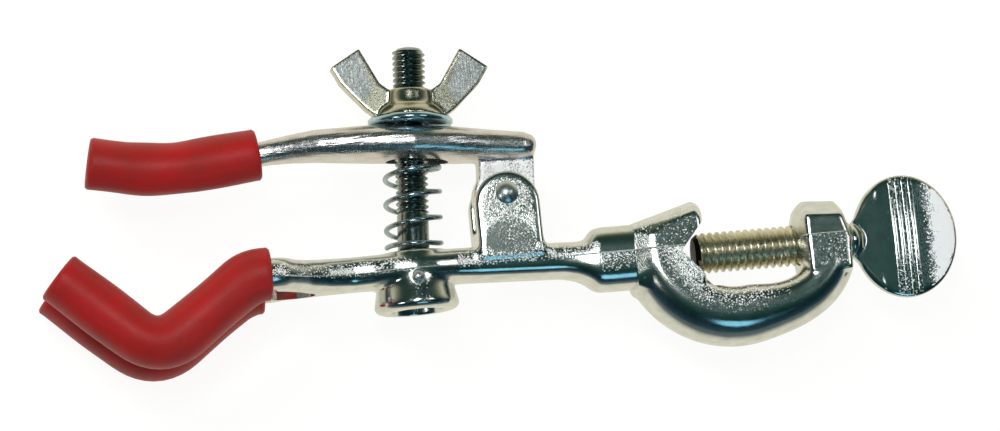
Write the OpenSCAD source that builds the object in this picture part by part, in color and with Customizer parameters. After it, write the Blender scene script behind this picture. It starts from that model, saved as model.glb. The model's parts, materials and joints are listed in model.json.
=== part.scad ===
// Boss head clamp: a screw-clamped boss head that grips an upright rod, with a
// hinged pair of rubber-sleeved jaws drawn together by a wing nut on a swing bolt.
// +Z runs up the rod, +X along the arm towards the thumb screw, and +Y the way
// the jaws open. The origin is the axis of the rod seated in the V notch.

/* [Boss head] */
// Diameter of the rod that the origin is set out for
rod_d = 12; // [8:0.5:15]
// Angle of each V face from the arm's line
notch_angle = 50; // [40:1:55]
// Length of each V face
notch_face = 6.9; // [5:0.1:8]
// Metal from the back of the V to the end of the arm's neck
head_back = 8.8; // [7:0.1:12]
// Opening from the back of the V to the screw block
mouth_w = 23.3; // [20:0.1:30]
// Length of the screw block along the screw
block_len = 11.1; // [9:0.1:16]
// Height of the screw block over the screw axis
block_top = 8.2; // [6.5:0.1:11]
// Height of the lip over the screw axis
lip_top = 10; // [8.5:0.1:12]
// Depth of the boss head along the rod
head_depth = 15; // [12:0.5:20]
// Depth of the throat below the screw axis, at the middle of its thickness
throat_depth = 7.2; // [6:0.1:9]
// Thickness of the hook below the throat
hook_thick = 11.4; // [8:0.1:15]

/* [Clamp screw] */
// Outside diameter of the clamp screw
screw_d = 7.94; // [6:0.02:9]
// Pitch of the clamp screw
screw_pitch = 1.411; // [1:0.001:2]
// Gap from the back of the V to the tip of the screw
tip_gap = 3.35; // [1:0.05:8]
// Height of the thumb head's paddle
paddle_h = 24; // [16:0.5:30]
// Width of the thumb head's paddle
paddle_w = 20.6; // [14:0.2:26]
// Length of the thumb head along the screw
head_len = 21.2; // [19:0.2:30]
// Thickness of the paddle at its rim
paddle_t = 2.6; // [2:0.1:4]
// Diameter of the spigot that carries the thumb head
spigot_d = 5.6; // [4:0.1:6]

/* [Lower jaw] */
// Distance from the end of the neck to the hinge pin
hinge_reach = 23.7; // [21:0.1:32]
// Height of the hinge pin over the screw axis
hinge_h = 14.2; // [13:0.1:20]
// Distance from the bolt boss to the fork of the fingers
fork_reach = 24; // [18:0.5:34]
// Height of the arm's section
arm_h = 6.5; // [5:0.1:8]
// Depth of the arm's section
arm_w = 10.4; // [8:0.1:12]
// Height of the neck's section
neck_h = 12.4; // [11:0.1:15]
// Depth of the neck's section
neck_w = 12.6; // [11:0.1:15]
// Length of the neck
neck_len = 5.8; // [4:0.1:9]
// Diameter of the spigot on the boss head that the neck holds
socket_d = 6; // [5:0.1:7]
// Width of each clevis ear
ear_w = 12.6; // [11:0.1:15]
// Depth over both ears
ear_depth = 13; // [11:0.1:16]
// Slot between the ears
ear_slot = 6.6; // [5:0.1:7]
// Wall of the round boss at the bolt
boss_wall = 3.35; // [2:0.05:5]
// Height of the round boss
boss_h = 11.4; // [10:0.1:14]

/* [Fingers and sleeves] */
// Distance between the middles of the two lower fingers
finger_gap = 19.4; // [17:0.2:26]
// Length of the lower V's leg next to the arm
inner_leg = 22.8; // [18:0.2:30]
// Slope of the lower V's leg next to the arm
inner_slope = 35.5; // [28:0.5:45]
// Length of the lower V's outer leg
outer_leg = 24.1; // [18:0.2:32]
// Slope of the lower V's outer leg
outer_slope = 42.2; // [32:0.5:50]
// Diameter of the metal of the lower fingers
finger_d = 6.2; // [5:0.1:7]
// Outside diameter of the lower sleeves
sleeve_d = 10.4; // [9.5:0.1:12]
// Outside diameter of the upper sleeve
upper_sleeve_d = 10.2; // [8.5:0.1:12]
// Length of the upper finger beyond the hinge pin
upper_reach = 80; // [72:0.5:95]
// Diameter of the metal of the upper finger
upper_finger_d = 4.7; // [4:0.1:6]

/* [Swing bolt] */
// Diameter of the bolt
bolt_d = 6.35; // [5:0.05:7]
// Pitch of the bolt's thread
bolt_pitch = 1.1; // [0.8:0.05:1.5]
// Distance from the hinge pin to the bolt's axis, square to the bolt
bolt_arm = 17.6; // [16:0.1:22]
// Lean of the bolt and the upper jaw, towards the boss head
jaw_lean = 4.2; // [0:0.1:8]
// Seat of the washer over the hinge pin, along the bolt
seat_h = 13.95; // [13:0.05:18]
// Cross pin of the bolt under the hinge pin, along the bolt
pin_drop = 16.1; // [15.5:0.1:18]
// Length of the bolt above its cross pin
bolt_len = 45.6; // [40:0.2:60]
// Diameter of the bolt's cross pin
bolt_pin_d = 2.4; // [2:0.1:3]
// Room that the round boss leaves round the bolt, for it to lean
swing_room = 1.775; // [1.775:0.025:2.5]
// Diameter of the hinge pin
hinge_pin_d = 3.2; // [2.5:0.1:4]

/* [Upper jaw] */
// Thickness of the upper bar at the bolt
bar_t = 6.9; // [5.5:0.1:8]
// Depth of the upper bar at the bolt
bar_w = 15; // [12:0.2:18]

/* [Wing nut, washer and spring] */
// Height of the wing nut's hub
nut_h = 5.5; // [4.5:0.1:8]
// Span over the wings
wing_span = 30.6; // [24:0.2:40]
// Height of the wings
wing_h = 13.4; // [10:0.1:18]
// Thickness of the wings
wing_t = 3.6; // [2.5:0.1:5]
// Outside diameter of the washer
washer_d = 16.4; // [14:0.1:19]
// Thickness of the washer
washer_t = 1.5; // [1:0.05:2]
// Gap between the bolt and the spring
spring_gap = 1.725; // [1:0.025:2.5]
// Diameter of the spring's wire
wire_d = 0.85; // [0.6:0.05:1]
// Turns of the spring between its closed ends
spring_turns = 3.4; // [3:0.1:6]

/* [Hidden] */
$fn = 48;

// clearances
run_gap = 0.05;   // radial gap of a running fit
free_gap = 0.3;   // gap between parts that pass each other
push_gap = 0.03;  // radial gap round a spigot that is pushed home
cut = 1;          // how far a cut runs past the face that it opens
bite = 0.4;       // how far joined shapes of one piece run into each other
thread_share = 0.43; // chamfer of a screw's tip, as a share of its pitch

// section shapes
sides = 14;       // corners of a cast or moulded section
boxy = 0.62;      // squareness of a cast bar's section
round = 1;        // a circle's

// places on the boss head
notch_x = -rod_d/2 / sin(notch_angle);
neck_x = notch_x - head_back;
block_x = notch_x + mouth_w;
block_end = block_x + block_len;
tip_x = notch_x + tip_gap;
hook_out = throat_depth + hook_thick;
flat_depth = 4;   // depth of the boss head's widest part

// places on the jaws
hinge = [neck_x - hinge_reach, hinge_h, 0];
lean = [0, 0, -jaw_lean];
bolt_foot = hinge + [-bolt_arm*cos(jaw_lean) - pin_drop*sin(jaw_lean),
    bolt_arm*sin(jaw_lean) - pin_drop*cos(jaw_lean), 0];
arm_top = bolt_foot[1] + 5.4;
arm_y = arm_top - arm_h/2;
flare_x = neck_x - neck_len;
neck_y = 0.4;      // middle of the neck over the screw axis
ear_r = ear_w/2;
lug_r = 5.9;
lug_back = 4.8;   // width of the lug on the bolt's side of the hinge pin
ear_top = hinge_h + 4.3;
ear_floor = hinge_h - lug_r - 2*free_gap;
foot_run = 2;     // run of the sloped foot on each side of the ears
lug_t = ear_slot - 2*free_gap;
boss_bore = bolt_d + 2*swing_room;
boss_d = boss_bore + 2*boss_wall;
spring_d = bolt_d + 2*(spring_gap + wire_d);
seat_gap = 0.25;  // gap from the upper bar to the washer, taken up as the bolt swings
spring_seat = seat_h - bar_t;

// V fingers
fork_x = bolt_foot[0] - fork_reach;
spread = finger_gap/2;
root = [fork_x + 3, arm_y, 0];
shoulder = [fork_x - 2.2, arm_y + 0.3, spread];
shoulder_cut = 2.2;
hump = shoulder - [6, 0, 0];
valley = hump + inner_leg*[-cos(inner_slope), -sin(inner_slope), 0];
leg_end = valley + outer_leg*[-cos(outer_slope), sin(outer_slope), 0];
sleeve_gap = 0.35; // gap that keeps a sleeve's bore off its finger
finger_short = 3;  // how far a finger stops inside its sleeve

function unit(v) = v / norm(v);
function bend(a, b, c, t) = (1-t)*(1-t)*a + 2*t*(1-t)*b + t*t*c;

// The arc that rounds corner b between a and c, starting and ending `cut_back` from it
function corner(a, b, c, cut_back, steps) =
    let (p = b + cut_back*unit(a-b), q = b + cut_back*unit(c-b))
    [for (i = [0:steps]) bend(p, b, q, i/steps)];

// A line through points whose inner corners are rounded
function route(points, cut_backs, steps) =
    let (last = len(points) - 1)
    concat([points[0]],
        [for (k = [1:last-1]) each corner(points[k-1], points[k], points[k+1],
            cut_backs[k-1], steps)],
        [points[last]]);

function heading(line, i) =
    let (last = len(line) - 1)
    unit(line[min(i+1, last)] - line[max(i-1, 0)]);
function power(v, p) = sign(v)*pow(abs(v), p);

// One section: half height `up`, half depth `out`, square to `along`
function ring(at, along, up, out, shape, count, upright) =
    let (n1 = unit(cross(upright, along)), n2 = cross(along, n1))
    [for (k = [0:count-1])
        let (a = 360*k/count)
        at + up*power(cos(a), shape)*n1 + out*power(sin(a), shape)*n2];

// Rings of an even round tube along a line
function tube_rings(line, r, count) =
    [for (i = [0:len(line)-1])
        ring(line[i], heading(line, i), r, r, round, count, [0, 0, 1])];

function side_faces(n, rows, from) =
    [for (i = [0:rows-2]) for (k = [0:n-1])
        let (a = from + i*n + k, b = from + i*n + (k+1)%n)
        each [[a, a+n, b+n], [a, b+n, b]]];
function flipped(faces) = [for (f = faces) [for (k = [len(f)-1:-1:0]) f[k]]];

// A closed solid through rings of equal count
module skin(rings) {
    n = len(rings[0]);
    last = (len(rings)-1)*n;
    polyhedron(points = [for (r = rings) each r],
        faces = concat([[for (k = [0:n-1]) k]], [[for (k = [n-1:-1:0]) last + k]],
            side_faces(n, len(rings), 0)));
}

// A hollow tube with square-cut ends
module hollow(outer, inner) {
    n = len(outer[0]);
    rows = len(outer);
    half = rows*n;
    start = [for (k = [0:n-1]) [k, (k+1)%n, half + (k+1)%n, half + k]];
    polyhedron(points = [for (r = concat(outer, inner)) each r],
        faces = concat(side_faces(n, rows, 0), flipped(side_faces(n, rows, half)), start,
            flipped([for (f = start) [for (v = f) v + (rows-1)*n]])));
}

// A bar through stations of [x, y, half height, half depth]
module bar(stations) {
    line = [for (s = stations) [s[0], s[1], 0]];
    skin([for (i = [0:len(line)-1])
        ring(line[i], heading(line, i), stations[i][2], stations[i][3], boxy, sides,
            [0, 0, 1])]);
}

module along_y(h, r) rotate([-90, 0, 0]) cylinder(h = h, r = r);
module along_x(h, r1, r2) rotate([0, 90, 0]) cylinder(h = h, r1 = r1, r2 = r2);
module through_z(at, r, h) translate(at) cylinder(h = h, r = r, center = true);
module in_jaw() translate(hinge) rotate(lean) children();
module on_bolt(h) translate(bolt_foot) rotate(lean) translate([0, h, 0]) children();

// A plate with drafted edges, from its middle outline and its front one
module drafted(middle, front, depth) {
    hull() {
        linear_extrude(flat_depth, center = true) polygon(middle);
        linear_extrude(depth, center = true) polygon(front);
    }
}

// Boss head
hook_c = [notch_x + 10.75, 3.4];   // middle of the hook's outer arc
hook_r = hook_out + hook_c[1];
hook_from = 209;
hook_to = 338;
hook_steps = 14;
corner_r = norm([block_end - 0.6 - hook_c[0], 7 + hook_c[1]]);
function ease(t) = t*t*(3 - 2*t);
function hook_outer(a) = hook_r + (corner_r - hook_r)*ease(max(0, (a-285)/(hook_to-285)));
inner_left = 10.2;
inner_right = block_x + 3.45 - hook_c[0];
function hook_inner(a) = (throat_depth + hook_c[1])
    + (inner_left - throat_depth - hook_c[1])*ease(max(0, (262-a)/(262-hook_from)))
    + (inner_right - throat_depth - hook_c[1])*ease(max(0, (a-278)/(hook_to-278)));

module hook() {
    skin([for (i = [0:hook_steps])
        let (a = hook_from + (hook_to-hook_from)*i/hook_steps,
            r1 = hook_inner(a), r2 = hook_outer(a), way = [cos(a), sin(a), 0])
        ring([hook_c[0], hook_c[1], 0] + way*(r1+r2)/2, [-sin(a), cos(a), 0],
            (r2-r1)/2, head_depth/2, boxy, sides, [0, 0, 1])]);
}

module screw_block() {
    bottom = -throat_depth + 1;
    right = block_end;
    drafted(
        [[block_x+2.3, bottom], [block_x+1.8, -3.6], [block_x+0.1, -1.6], [block_x-0.5, 1],
            [block_x-0.2, 4.4], [block_x+0.5, block_top-1.5], [block_x+1.9, block_top],
            [right-2.6, block_top-0.4], [right-1, block_top-2.4], [right, 0], [right-0.3, bottom]],
        [[block_x+1.5, bottom], [block_x+1.4, block_top-3.2],
            [right-2.2, block_top-3.8], [right-0.9, 0], [right-1.2, bottom]],
        head_depth);
}

module lip_body() {
    front = neck_x + 1.4;
    tip = notch_x + 5.4;
    drafted(
        [[neck_x, -neck_h/2-0.4], [neck_x, neck_h/2+0.2], [tip-1.8, lip_top], [tip-0.4, lip_top-0.7],
            [tip, lip_top-2.6], [notch_x+4.6, -7.5], [neck_x+4, -12]],
        [[front, -6.5], [front, 3.8], [tip-2, lip_top-2.4], [tip-1, lip_top-4],
            [notch_x+4, -7], [neck_x+4.6, -10]],
        head_depth);
}

module notch() {
    reach = notch_face + cut;
    linear_extrude(head_depth + 2*cut, center = true)
        polygon([[notch_x, 0],
            [notch_x + notch_face*cos(notch_angle), -notch_face*sin(notch_angle)],
            [notch_x + notch_face*cos(notch_angle) + 1.2, -throat_depth],
            [block_x - cut, -throat_depth + 1.6],
            [block_x - cut, lip_top + cut],
            [notch_x + reach*cos(notch_angle) + 3, lip_top + cut],
            [notch_x + 1.35*reach*cos(notch_angle), 1.35*reach*sin(notch_angle)]]);
}

module boss_head() color([0.62, 0.63, 0.6]) {
    difference() {
        union() {
            hook();
            screw_block();
            lip_body();
            translate([neck_x - neck_len, 0, 0])
                along_x(neck_len + bite, socket_d/2, socket_d/2);
        }
        notch();
        translate([block_x - cut, 0, 0])
            along_x(block_len + 2*cut, screw_d/2 + run_gap, screw_d/2 + run_gap);
    }
}

// Lower jaw
module arm_block(x1, y1, h1, w1, x2, y2, h2, w2) {
    bevel = 1.3;
    hull() {
        for (s = [[x1, y1, h1, w1, 1], [x2, y2, h2, w2, -1]]) {
            translate([s[0] + s[4]*0.05, s[1], 0]) {
                cube([0.1, s[2], s[3] - 2*bevel], center = true);
                cube([0.1, s[2] - 2*bevel, s[3]], center = true);
            }
        }
    }
}

module finger(z_way) {
    tip = leg_end + finger_short*unit(valley - leg_end);
    path = [for (p = route([root, shoulder, hump, valley, tip], [shoulder_cut, 3, 4.5], 4))
        [p[0], p[1], z_way*p[2]]];
    skin(tube_rings(path, finger_d/2, 10));
}

module ears() {
    difference() {
        linear_extrude(ear_depth, center = true) {
            translate([hinge[0], ear_top - ear_r]) circle(r = ear_r);
            translate([hinge[0] - ear_r, arm_y]) square([ear_w, ear_top - ear_r - arm_y]);
            for (way = [-1, 1]) {
                translate([hinge[0] + way*(ear_r - bite), arm_top - foot_run])
                    polygon([[0, -foot_run], [0, foot_run], [way*foot_run, 0], [way*foot_run, -foot_run]]);
            }
        }
        translate([hinge[0], ear_floor + ear_depth, 0])
            cube([ear_w + 4*foot_run, 2*ear_depth, ear_slot], center = true);
    }
}

module lower_jaw() color([0.66, 0.67, 0.64]) {
    difference() {
        union() {
            arm_block(fork_x - 1, arm_y, arm_h, arm_w*0.86, bolt_foot[0], arm_y, arm_h, arm_w);
            arm_block(bolt_foot[0], arm_y, arm_h, arm_w, flare_x - 6, arm_y/2, arm_h + 0.5, neck_w - 1);
            arm_block(flare_x - 6, arm_y/2, arm_h + 0.5, neck_w - 1, flare_x, neck_y, neck_h, neck_w);
            arm_block(flare_x, neck_y, neck_h, neck_w, neck_x, neck_y, neck_h, neck_w);
            translate([bolt_foot[0], arm_top - boss_h, 0]) along_y(boss_h, boss_d/2);
            ears();
            finger(1);
            finger(-1);
        }
        translate([bolt_foot[0], arm_top - boss_h - cut, 0]) along_y(boss_h + 2*cut, boss_bore/2);
        through_z(bolt_foot, bolt_pin_d/2, boss_d + 2*cut);
        through_z(hinge, hinge_pin_d/2, ear_depth + 2*cut);
        translate([neck_x - neck_len - cut, 0, 0])
            along_x(neck_len + 2*cut, socket_d/2 + push_gap, socket_d/2 + push_gap);
    }
}

// Upper jaw, in the jaw's own frame: the hinge pin at the origin, the bolt along +Y
bar_mid = seat_h - bar_t/2;
upper_end = -upper_reach;
sleeve_start = [-47.2, bar_mid - 1.7, 0];
sleeve_knee = [-66.5, bar_mid - 4.9, 0];
sleeve_end = [upper_end, bar_mid - 3.1, 0];
function upper_line(lead, short) =
    route([sleeve_start + lead*unit(sleeve_start - sleeve_knee), sleeve_knee,
        sleeve_end + short*unit(sleeve_knee - sleeve_end)], [7], 6);

module slot(r) {
    back = r + 1.5;  // room for the bolt as the jaws close
    front = r + 3.7; // and as they open
    for (x = [r - back, front - r]) {
        translate([x - bolt_arm, spring_seat - 2*cut, 0]) along_y(bar_t + 4*cut, r);
    }
    translate([(front - back)/2 - bolt_arm, bar_mid, 0])
        cube([front + back - 2*r, bar_t + 4*cut, 2*r], center = true);
}

module upper_jaw() color([0.7, 0.7, 0.68]) in_jaw() {
    half = bar_t/2;
    difference() {
        union() {
            bar([[ear_r + 0.2, bar_mid - 0.9, half - 1.3, 4.4], [ear_r - 2.4, bar_mid - 0.75, half - 0.6, 5.2],
                [-2.9, bar_mid - 0.5, half - 0.35, 5.6], [-11, bar_mid - 0.15, half, bar_w/2 - 0.6],
                [-bolt_arm, bar_mid, half + 0.03, bar_w/2], [-26.9, bar_mid + 0.05, half, bar_w/2 - 1],
                [-36.2, bar_mid - 0.2, half - 0.4, 5],
                [sleeve_start[0] + 2.2, bar_mid - 1.35, upper_finger_d/2, upper_finger_d/2 + 0.4]]);
            skin(tube_rings(upper_line(6, finger_short), upper_finger_d/2, 10));
            linear_extrude(lug_t, center = true) {
                circle(r = lug_r);
                translate([-lug_back, 0]) square([lug_back + lug_r, spring_seat + 1.5]);
            }
        }
        slot(bolt_d/2 + free_gap);
        through_z([0, 0, 0], hinge_pin_d/2 + run_gap, lug_t + 2*cut);
        translate([-bolt_arm, seat_h + 5, 0]) cube([washer_d + 2, 10, bar_w + 2], center = true);
    }
}

module hinge_pin() color([0.75, 0.75, 0.73]) {
    head_r = 2.2;
    head_h = 0.9;
    translate(hinge) {
        cylinder(h = ear_depth, r = hinge_pin_d/2, center = true);
        for (way = [0, 180]) {
            rotate([way, 0, 0]) translate([0, 0, ear_depth/2])
                rotate_extrude() intersection() {
                    translate([0, head_h - dome_r(head_r, head_h)]) circle(r = dome_r(head_r, head_h), $fn = 96);
                    square([head_r, head_h]);
                }
        }
    }
}
function dome_r(r, h) = (r*r + h*h) / (2*h);

module bolt_pin() color([0.75, 0.75, 0.73])
    translate(bolt_foot) cylinder(h = boss_d - 1, r = bolt_pin_d/2, center = true);

// Swing bolt: a round shank with a rounded foot on its cross pin and a domed tip
module swing_bolt() color([0.6, 0.61, 0.6]) {
    r = bolt_d/2;
    dome = bolt_pitch;
    difference() {
        on_bolt(-r) union() {
            along_y(bolt_len + r - dome, r);
            translate([0, bolt_len + r - dome, 0]) rotate([-90, 0, 0]) cylinder(h = dome, r1 = r, r2 = r*0.45);
        }
        through_z(bolt_foot, bolt_pin_d/2 + run_gap, bolt_d + 2*cut);
    }
}

// Open-coil spring with closed ends, between the arm and the upper bar
module spring() color([0.45, 0.5, 0.52]) {
    coil_r = (spring_d - wire_d)/2;
    low = arm_top - bolt_foot[1] + wire_d/2 + 0.45;
    high = pin_drop + spring_seat - wire_d/2 - 0.15;
    per_turn = 14;
    closed = 0.75;
    total = spring_turns + 2*closed;
    steps = ceil(total*per_turn);
    on_bolt(0) {
        line = [for (i = [0:steps])
            let (turn = total*i/steps, share = min(1, max(0, (turn - closed)/spring_turns)),
                lift = wire_d*1.05*(min(turn, closed) + max(0, turn - closed - spring_turns)),
                y = low + lift + (high - low - 2*closed*wire_d*1.05)*share,
                a = 360*turn)
            [coil_r*cos(a), y, -coil_r*sin(a)]];
        skin([for (i = [0:steps])
            ring(line[i], heading(line, i), wire_d/2, wire_d/2, round, 6, [0, 1, 0])]);
    }
}

washer_low = pin_drop + seat_h + seat_gap;
module washer() color([0.5, 0.6, 0.64]) on_bolt(washer_low) {
    difference() {
        along_y(washer_t, washer_d/2);
        translate([0, -cut, 0]) along_y(washer_t + 2*cut, bolt_d/2 + free_gap);
    }
}

// Wing nut: a coned hub and two upswept wings
module wing_nut() color([0.68, 0.68, 0.64]) on_bolt(washer_low + washer_t) {
    foot_r = bolt_d/2 + 3.3;
    top_r = bolt_d/2 + 1.1;
    difference() {
        union() {
            rotate([-90, 0, 0]) cylinder(h = 1, r = foot_r);
            translate([0, 1, 0]) rotate([-90, 0, 0]) cylinder(h = nut_h - 1, r1 = foot_r, r2 = top_r);
            for (way = [0, 180]) {
                rotate([0, way, 0]) linear_extrude(wing_t, center = true)
                    polygon([[bolt_d/2 + 0.4, nut_h - 1.6], [top_r, nut_h], [wing_span*0.32, wing_h],
                        [wing_span/2, wing_h - 3.7], [wing_span/2 - 1.9, wing_h - 7],
                        [foot_r + 2.3, 1.6], [foot_r + 0.5, 0.25], [bolt_d/2 + 0.4, 0.25]]);
            }
        }
        translate([0, -cut, 0]) along_y(nut_h + 2*cut, bolt_d/2 + run_gap);
    }
}

// Clamp screw, with a reduced spigot inside the thumb head
hub_gap = 0.15;    // gap from the screw block to the thumb head
hub_x = block_end + hub_gap;
spigot_len = 8;
module clamp_screw() color([0.72, 0.7, 0.6]) {
    point = thread_share*screw_pitch;
    translate([tip_x, 0, 0]) along_x(point, screw_d/2 - point, screw_d/2);
    translate([tip_x + point, 0, 0]) along_x(hub_x - tip_x - point, screw_d/2, screw_d/2);
    translate([hub_x - bite, 0, 0]) along_x(spigot_len + bite, spigot_d/2, spigot_d/2);
}

// Thumb head: a coned hub that spreads into a ribbed paddle
module thumb_head() color([0.7, 0.72, 0.72]) {
    hub_r = 3.7;
    ribs = 4;
    rib_pitch = 1.3;
    rib_w = 0.7;
    rib_proud = 0.45;
    paddle_rx = paddle_w/2;
    mid_x = hub_x + head_len - paddle_rx;
    difference() {
        union() {
            translate([hub_x, 0, 0]) along_x(head_len*0.62, hub_r, paddle_t/2);
            linear_extrude(paddle_t, center = true) {
                polygon([for (a = [0:7.5:352.5])
                    [mid_x + paddle_rx*cos(a), paddle_h/2*sin(a)]]);
                polygon([[hub_x + 0.3, -hub_r], [mid_x - 0.86*paddle_rx, -0.2*paddle_h],
                    [mid_x - 0.86*paddle_rx, 0.2*paddle_h], [hub_x + 0.3, hub_r]]);
            }
            for (k = [0:ribs-1]) {
                x = mid_x + (k - (ribs-1)/2)*rib_pitch;
                translate([x, 0, 0])
                    cube([rib_w, 0.93*paddle_h, paddle_t + 2*rib_proud], center = true);
            }
        }
        translate([hub_x - cut, 0, 0])
            along_x(spigot_len + cut + free_gap, spigot_d/2 + run_gap, spigot_d/2 + run_gap);
    }
}

// Rubber sleeves: hollow tubes drawn over the fingers
module upper_sleeve() color([0.68, 0.12, 0.12]) in_jaw() {
    line = upper_line(0, 0);
    hollow(tube_rings(line, upper_sleeve_d/2, 16), tube_rings(line, upper_finger_d/2 + sleeve_gap, 16));
}

module lower_sleeve(z_way) {
    line = [for (p = route([shoulder - [shoulder_cut, 0, 0], hump, valley, leg_end], [3, 4.5], 4))
        [p[0], p[1], z_way*p[2]]];
    hollow(tube_rings(line, sleeve_d/2, 16), tube_rings(line, finger_d/2 + sleeve_gap, 16));
}
module lower_sleeve_front() color([0.7, 0.12, 0.12]) lower_sleeve(1);
module lower_sleeve_rear() color([0.66, 0.12, 0.12]) lower_sleeve(-1);

lower_jaw();
boss_head();
upper_jaw();
hinge_pin();
swing_bolt();
bolt_pin();
spring();
washer();
wing_nut();
clamp_screw();
thumb_head();
upper_sleeve();
lower_sleeve_front();
lower_sleeve_rear();
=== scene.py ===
"""Looks of the boss head clamp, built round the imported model.

Each sub-assembly is a class. Its sizes are in millimetres, and its meshes are
scaled to metres as they are finished.
"""
import json
import logging
import math
from collections.abc import Callable, Sequence
from dataclasses import dataclass, field
from enum import Enum

import bmesh
import bpy
from bmesh.types import BMesh, BMEdge, BMVert
from bpy.types import ID, Material, Node, NodeSocket, NodeTree, Object
from mathutils import Matrix, Vector


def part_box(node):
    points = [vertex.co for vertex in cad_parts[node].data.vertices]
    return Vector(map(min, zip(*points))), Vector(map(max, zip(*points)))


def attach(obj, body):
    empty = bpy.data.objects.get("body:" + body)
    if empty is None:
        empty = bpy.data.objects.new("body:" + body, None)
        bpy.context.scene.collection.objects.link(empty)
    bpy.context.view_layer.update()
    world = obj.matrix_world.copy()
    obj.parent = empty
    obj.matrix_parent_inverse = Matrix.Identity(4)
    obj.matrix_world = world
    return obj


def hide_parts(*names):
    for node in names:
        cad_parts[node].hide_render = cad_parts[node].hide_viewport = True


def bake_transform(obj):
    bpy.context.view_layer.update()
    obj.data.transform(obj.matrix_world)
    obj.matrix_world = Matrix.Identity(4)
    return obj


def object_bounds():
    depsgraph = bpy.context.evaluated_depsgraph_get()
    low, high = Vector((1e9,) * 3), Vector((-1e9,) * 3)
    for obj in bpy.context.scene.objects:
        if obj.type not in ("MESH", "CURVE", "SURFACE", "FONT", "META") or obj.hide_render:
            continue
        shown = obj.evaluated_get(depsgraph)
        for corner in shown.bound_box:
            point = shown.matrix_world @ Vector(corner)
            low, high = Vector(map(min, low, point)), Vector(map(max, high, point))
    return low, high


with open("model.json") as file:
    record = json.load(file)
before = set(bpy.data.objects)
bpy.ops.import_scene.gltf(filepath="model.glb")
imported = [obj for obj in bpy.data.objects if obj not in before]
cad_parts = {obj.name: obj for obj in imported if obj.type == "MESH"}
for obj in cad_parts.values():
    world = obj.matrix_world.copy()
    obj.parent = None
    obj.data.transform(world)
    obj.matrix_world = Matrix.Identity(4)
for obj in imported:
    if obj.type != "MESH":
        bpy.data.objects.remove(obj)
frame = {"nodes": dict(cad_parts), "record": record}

CAD_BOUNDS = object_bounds()
MM = 0.001
MERGE = 1e-4
BEND_STEPS = 10
UP = Vector((0, 0, 1))
log = logging.getLogger("clamp")

Point = tuple[float, float]
Shade = Callable[[Vector, Vector], float]


# ---------------------------------------------------------------- shaping

class Join(Enum):
    """How two closed shapes are put together."""

    ADD = "UNION"
    CUT = "DIFFERENCE"


@dataclass(frozen=True)
class Station:
    """One section of a swept bar: its half height, half depth and squareness.

    Squareness is 1 for an ellipse and falls towards 0 for a square. `inner` is that of
    the side that faces the inside of a bend, or 0 where both sides are the same.
    """

    at: Vector
    along: Vector
    up: float
    out: float
    boxy: float = 1.0
    inner: float = 0.0


def section_point(station: Station, angle: float) -> Vector:
    """A point on a station's outline.

    Args:
        station: The section.
        angle: Angle round the outline, in radians.

    Returns:
        The point, in the space of the bar.
    """
    rise = station.along.normalized()
    high = UP.cross(rise).normalized()
    side = rise.cross(high)
    c, s = math.cos(angle), math.sin(angle)
    boxy = station.inner if station.inner and c > 0 else station.boxy
    return (station.at + high * (station.up * math.copysign(abs(c) ** boxy, c))
            + side * (station.out * math.copysign(abs(s) ** boxy, s)))


def sweep(stations: Sequence[Station], count: int, capped: bool = True) -> BMesh:
    """A bar drawn through its sections.

    Args:
        stations: The sections, in order.
        count: Points round each section.
        capped: Whether the ends are closed, or joined to each other.

    Returns:
        The closed shape.
    """
    bm = bmesh.new()
    ring = bmesh.ops.create_circle(bm, segments=count, radius=1.0)["verts"]
    angles = [math.atan2(v.co.y, v.co.x) for v in ring]
    edges = list(bm.edges)
    first = edges
    for number, station in enumerate(stations):
        if number:
            places = {v.co.to_tuple(): i for i, v in enumerate(ring)}
            made = bmesh.ops.extrude_edge_only(bm, edges=edges)["geom"]
            fresh = sorted((v for v in made if isinstance(v, BMVert)),
                           key=lambda v: places[v.co.to_tuple()])
            chosen = set(fresh)
            edges = [e for e in made if isinstance(e, BMEdge) and chosen.issuperset(e.verts)]
            ring = fresh
        for vert, angle in zip(ring, angles):
            vert.co = section_point(station, angle)
    if capped:
        bmesh.ops.contextual_create(bm, geom=first)
        bmesh.ops.contextual_create(bm, geom=edges)
    else:
        bmesh.ops.bridge_loops(bm, edges=first + edges)
    bmesh.ops.recalc_face_normals(bm, faces=bm.faces)
    return bm


def bend(a: Vector, b: Vector, c: Vector, share: float) -> Vector:
    """A point on the curve from a to c that leans towards b."""
    return a * (1 - share) ** 2 + b * (2 * share * (1 - share)) + c * share ** 2


def route(points: Sequence[Vector], cut_backs: Sequence[float],
          spacing: float = 2.0) -> list[Vector]:
    """A line through points, with its inner corners rounded.

    Args:
        points: The corners.
        cut_backs: How far before and after each inner corner the bend runs.
        spacing: Longest step along the straights.

    Returns:
        The points of the line.
    """
    rough = [points[0]]
    for k, cut in enumerate(cut_backs, start=1):
        a, b, c = points[k - 1], points[k], points[k + 1]
        start = b + (a - b).normalized() * cut
        stop = b + (c - b).normalized() * cut
        rough += [bend(start, b, stop, i / BEND_STEPS) for i in range(BEND_STEPS + 1)]
    rough.append(points[-1])
    line = [rough[0]]
    for a, b in zip(rough, rough[1:]):
        pieces = max(1, math.ceil((b - a).length / spacing))
        line += [a.lerp(b, (i + 1) / pieces) for i in range(pieces) if (b - a).length > MERGE]
    return line


def heading(line: Sequence[Vector], i: int) -> Vector:
    """The direction of a line at one of its points."""
    return (line[min(i + 1, len(line) - 1)] - line[max(i - 1, 0)]).normalized()


def tube(line: Sequence[Vector], radius: float, count: int = 24) -> BMesh:
    """A round rod along a line."""
    return sweep([Station(p, heading(line, i), radius, radius) for i, p in enumerate(line)], count)


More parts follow.
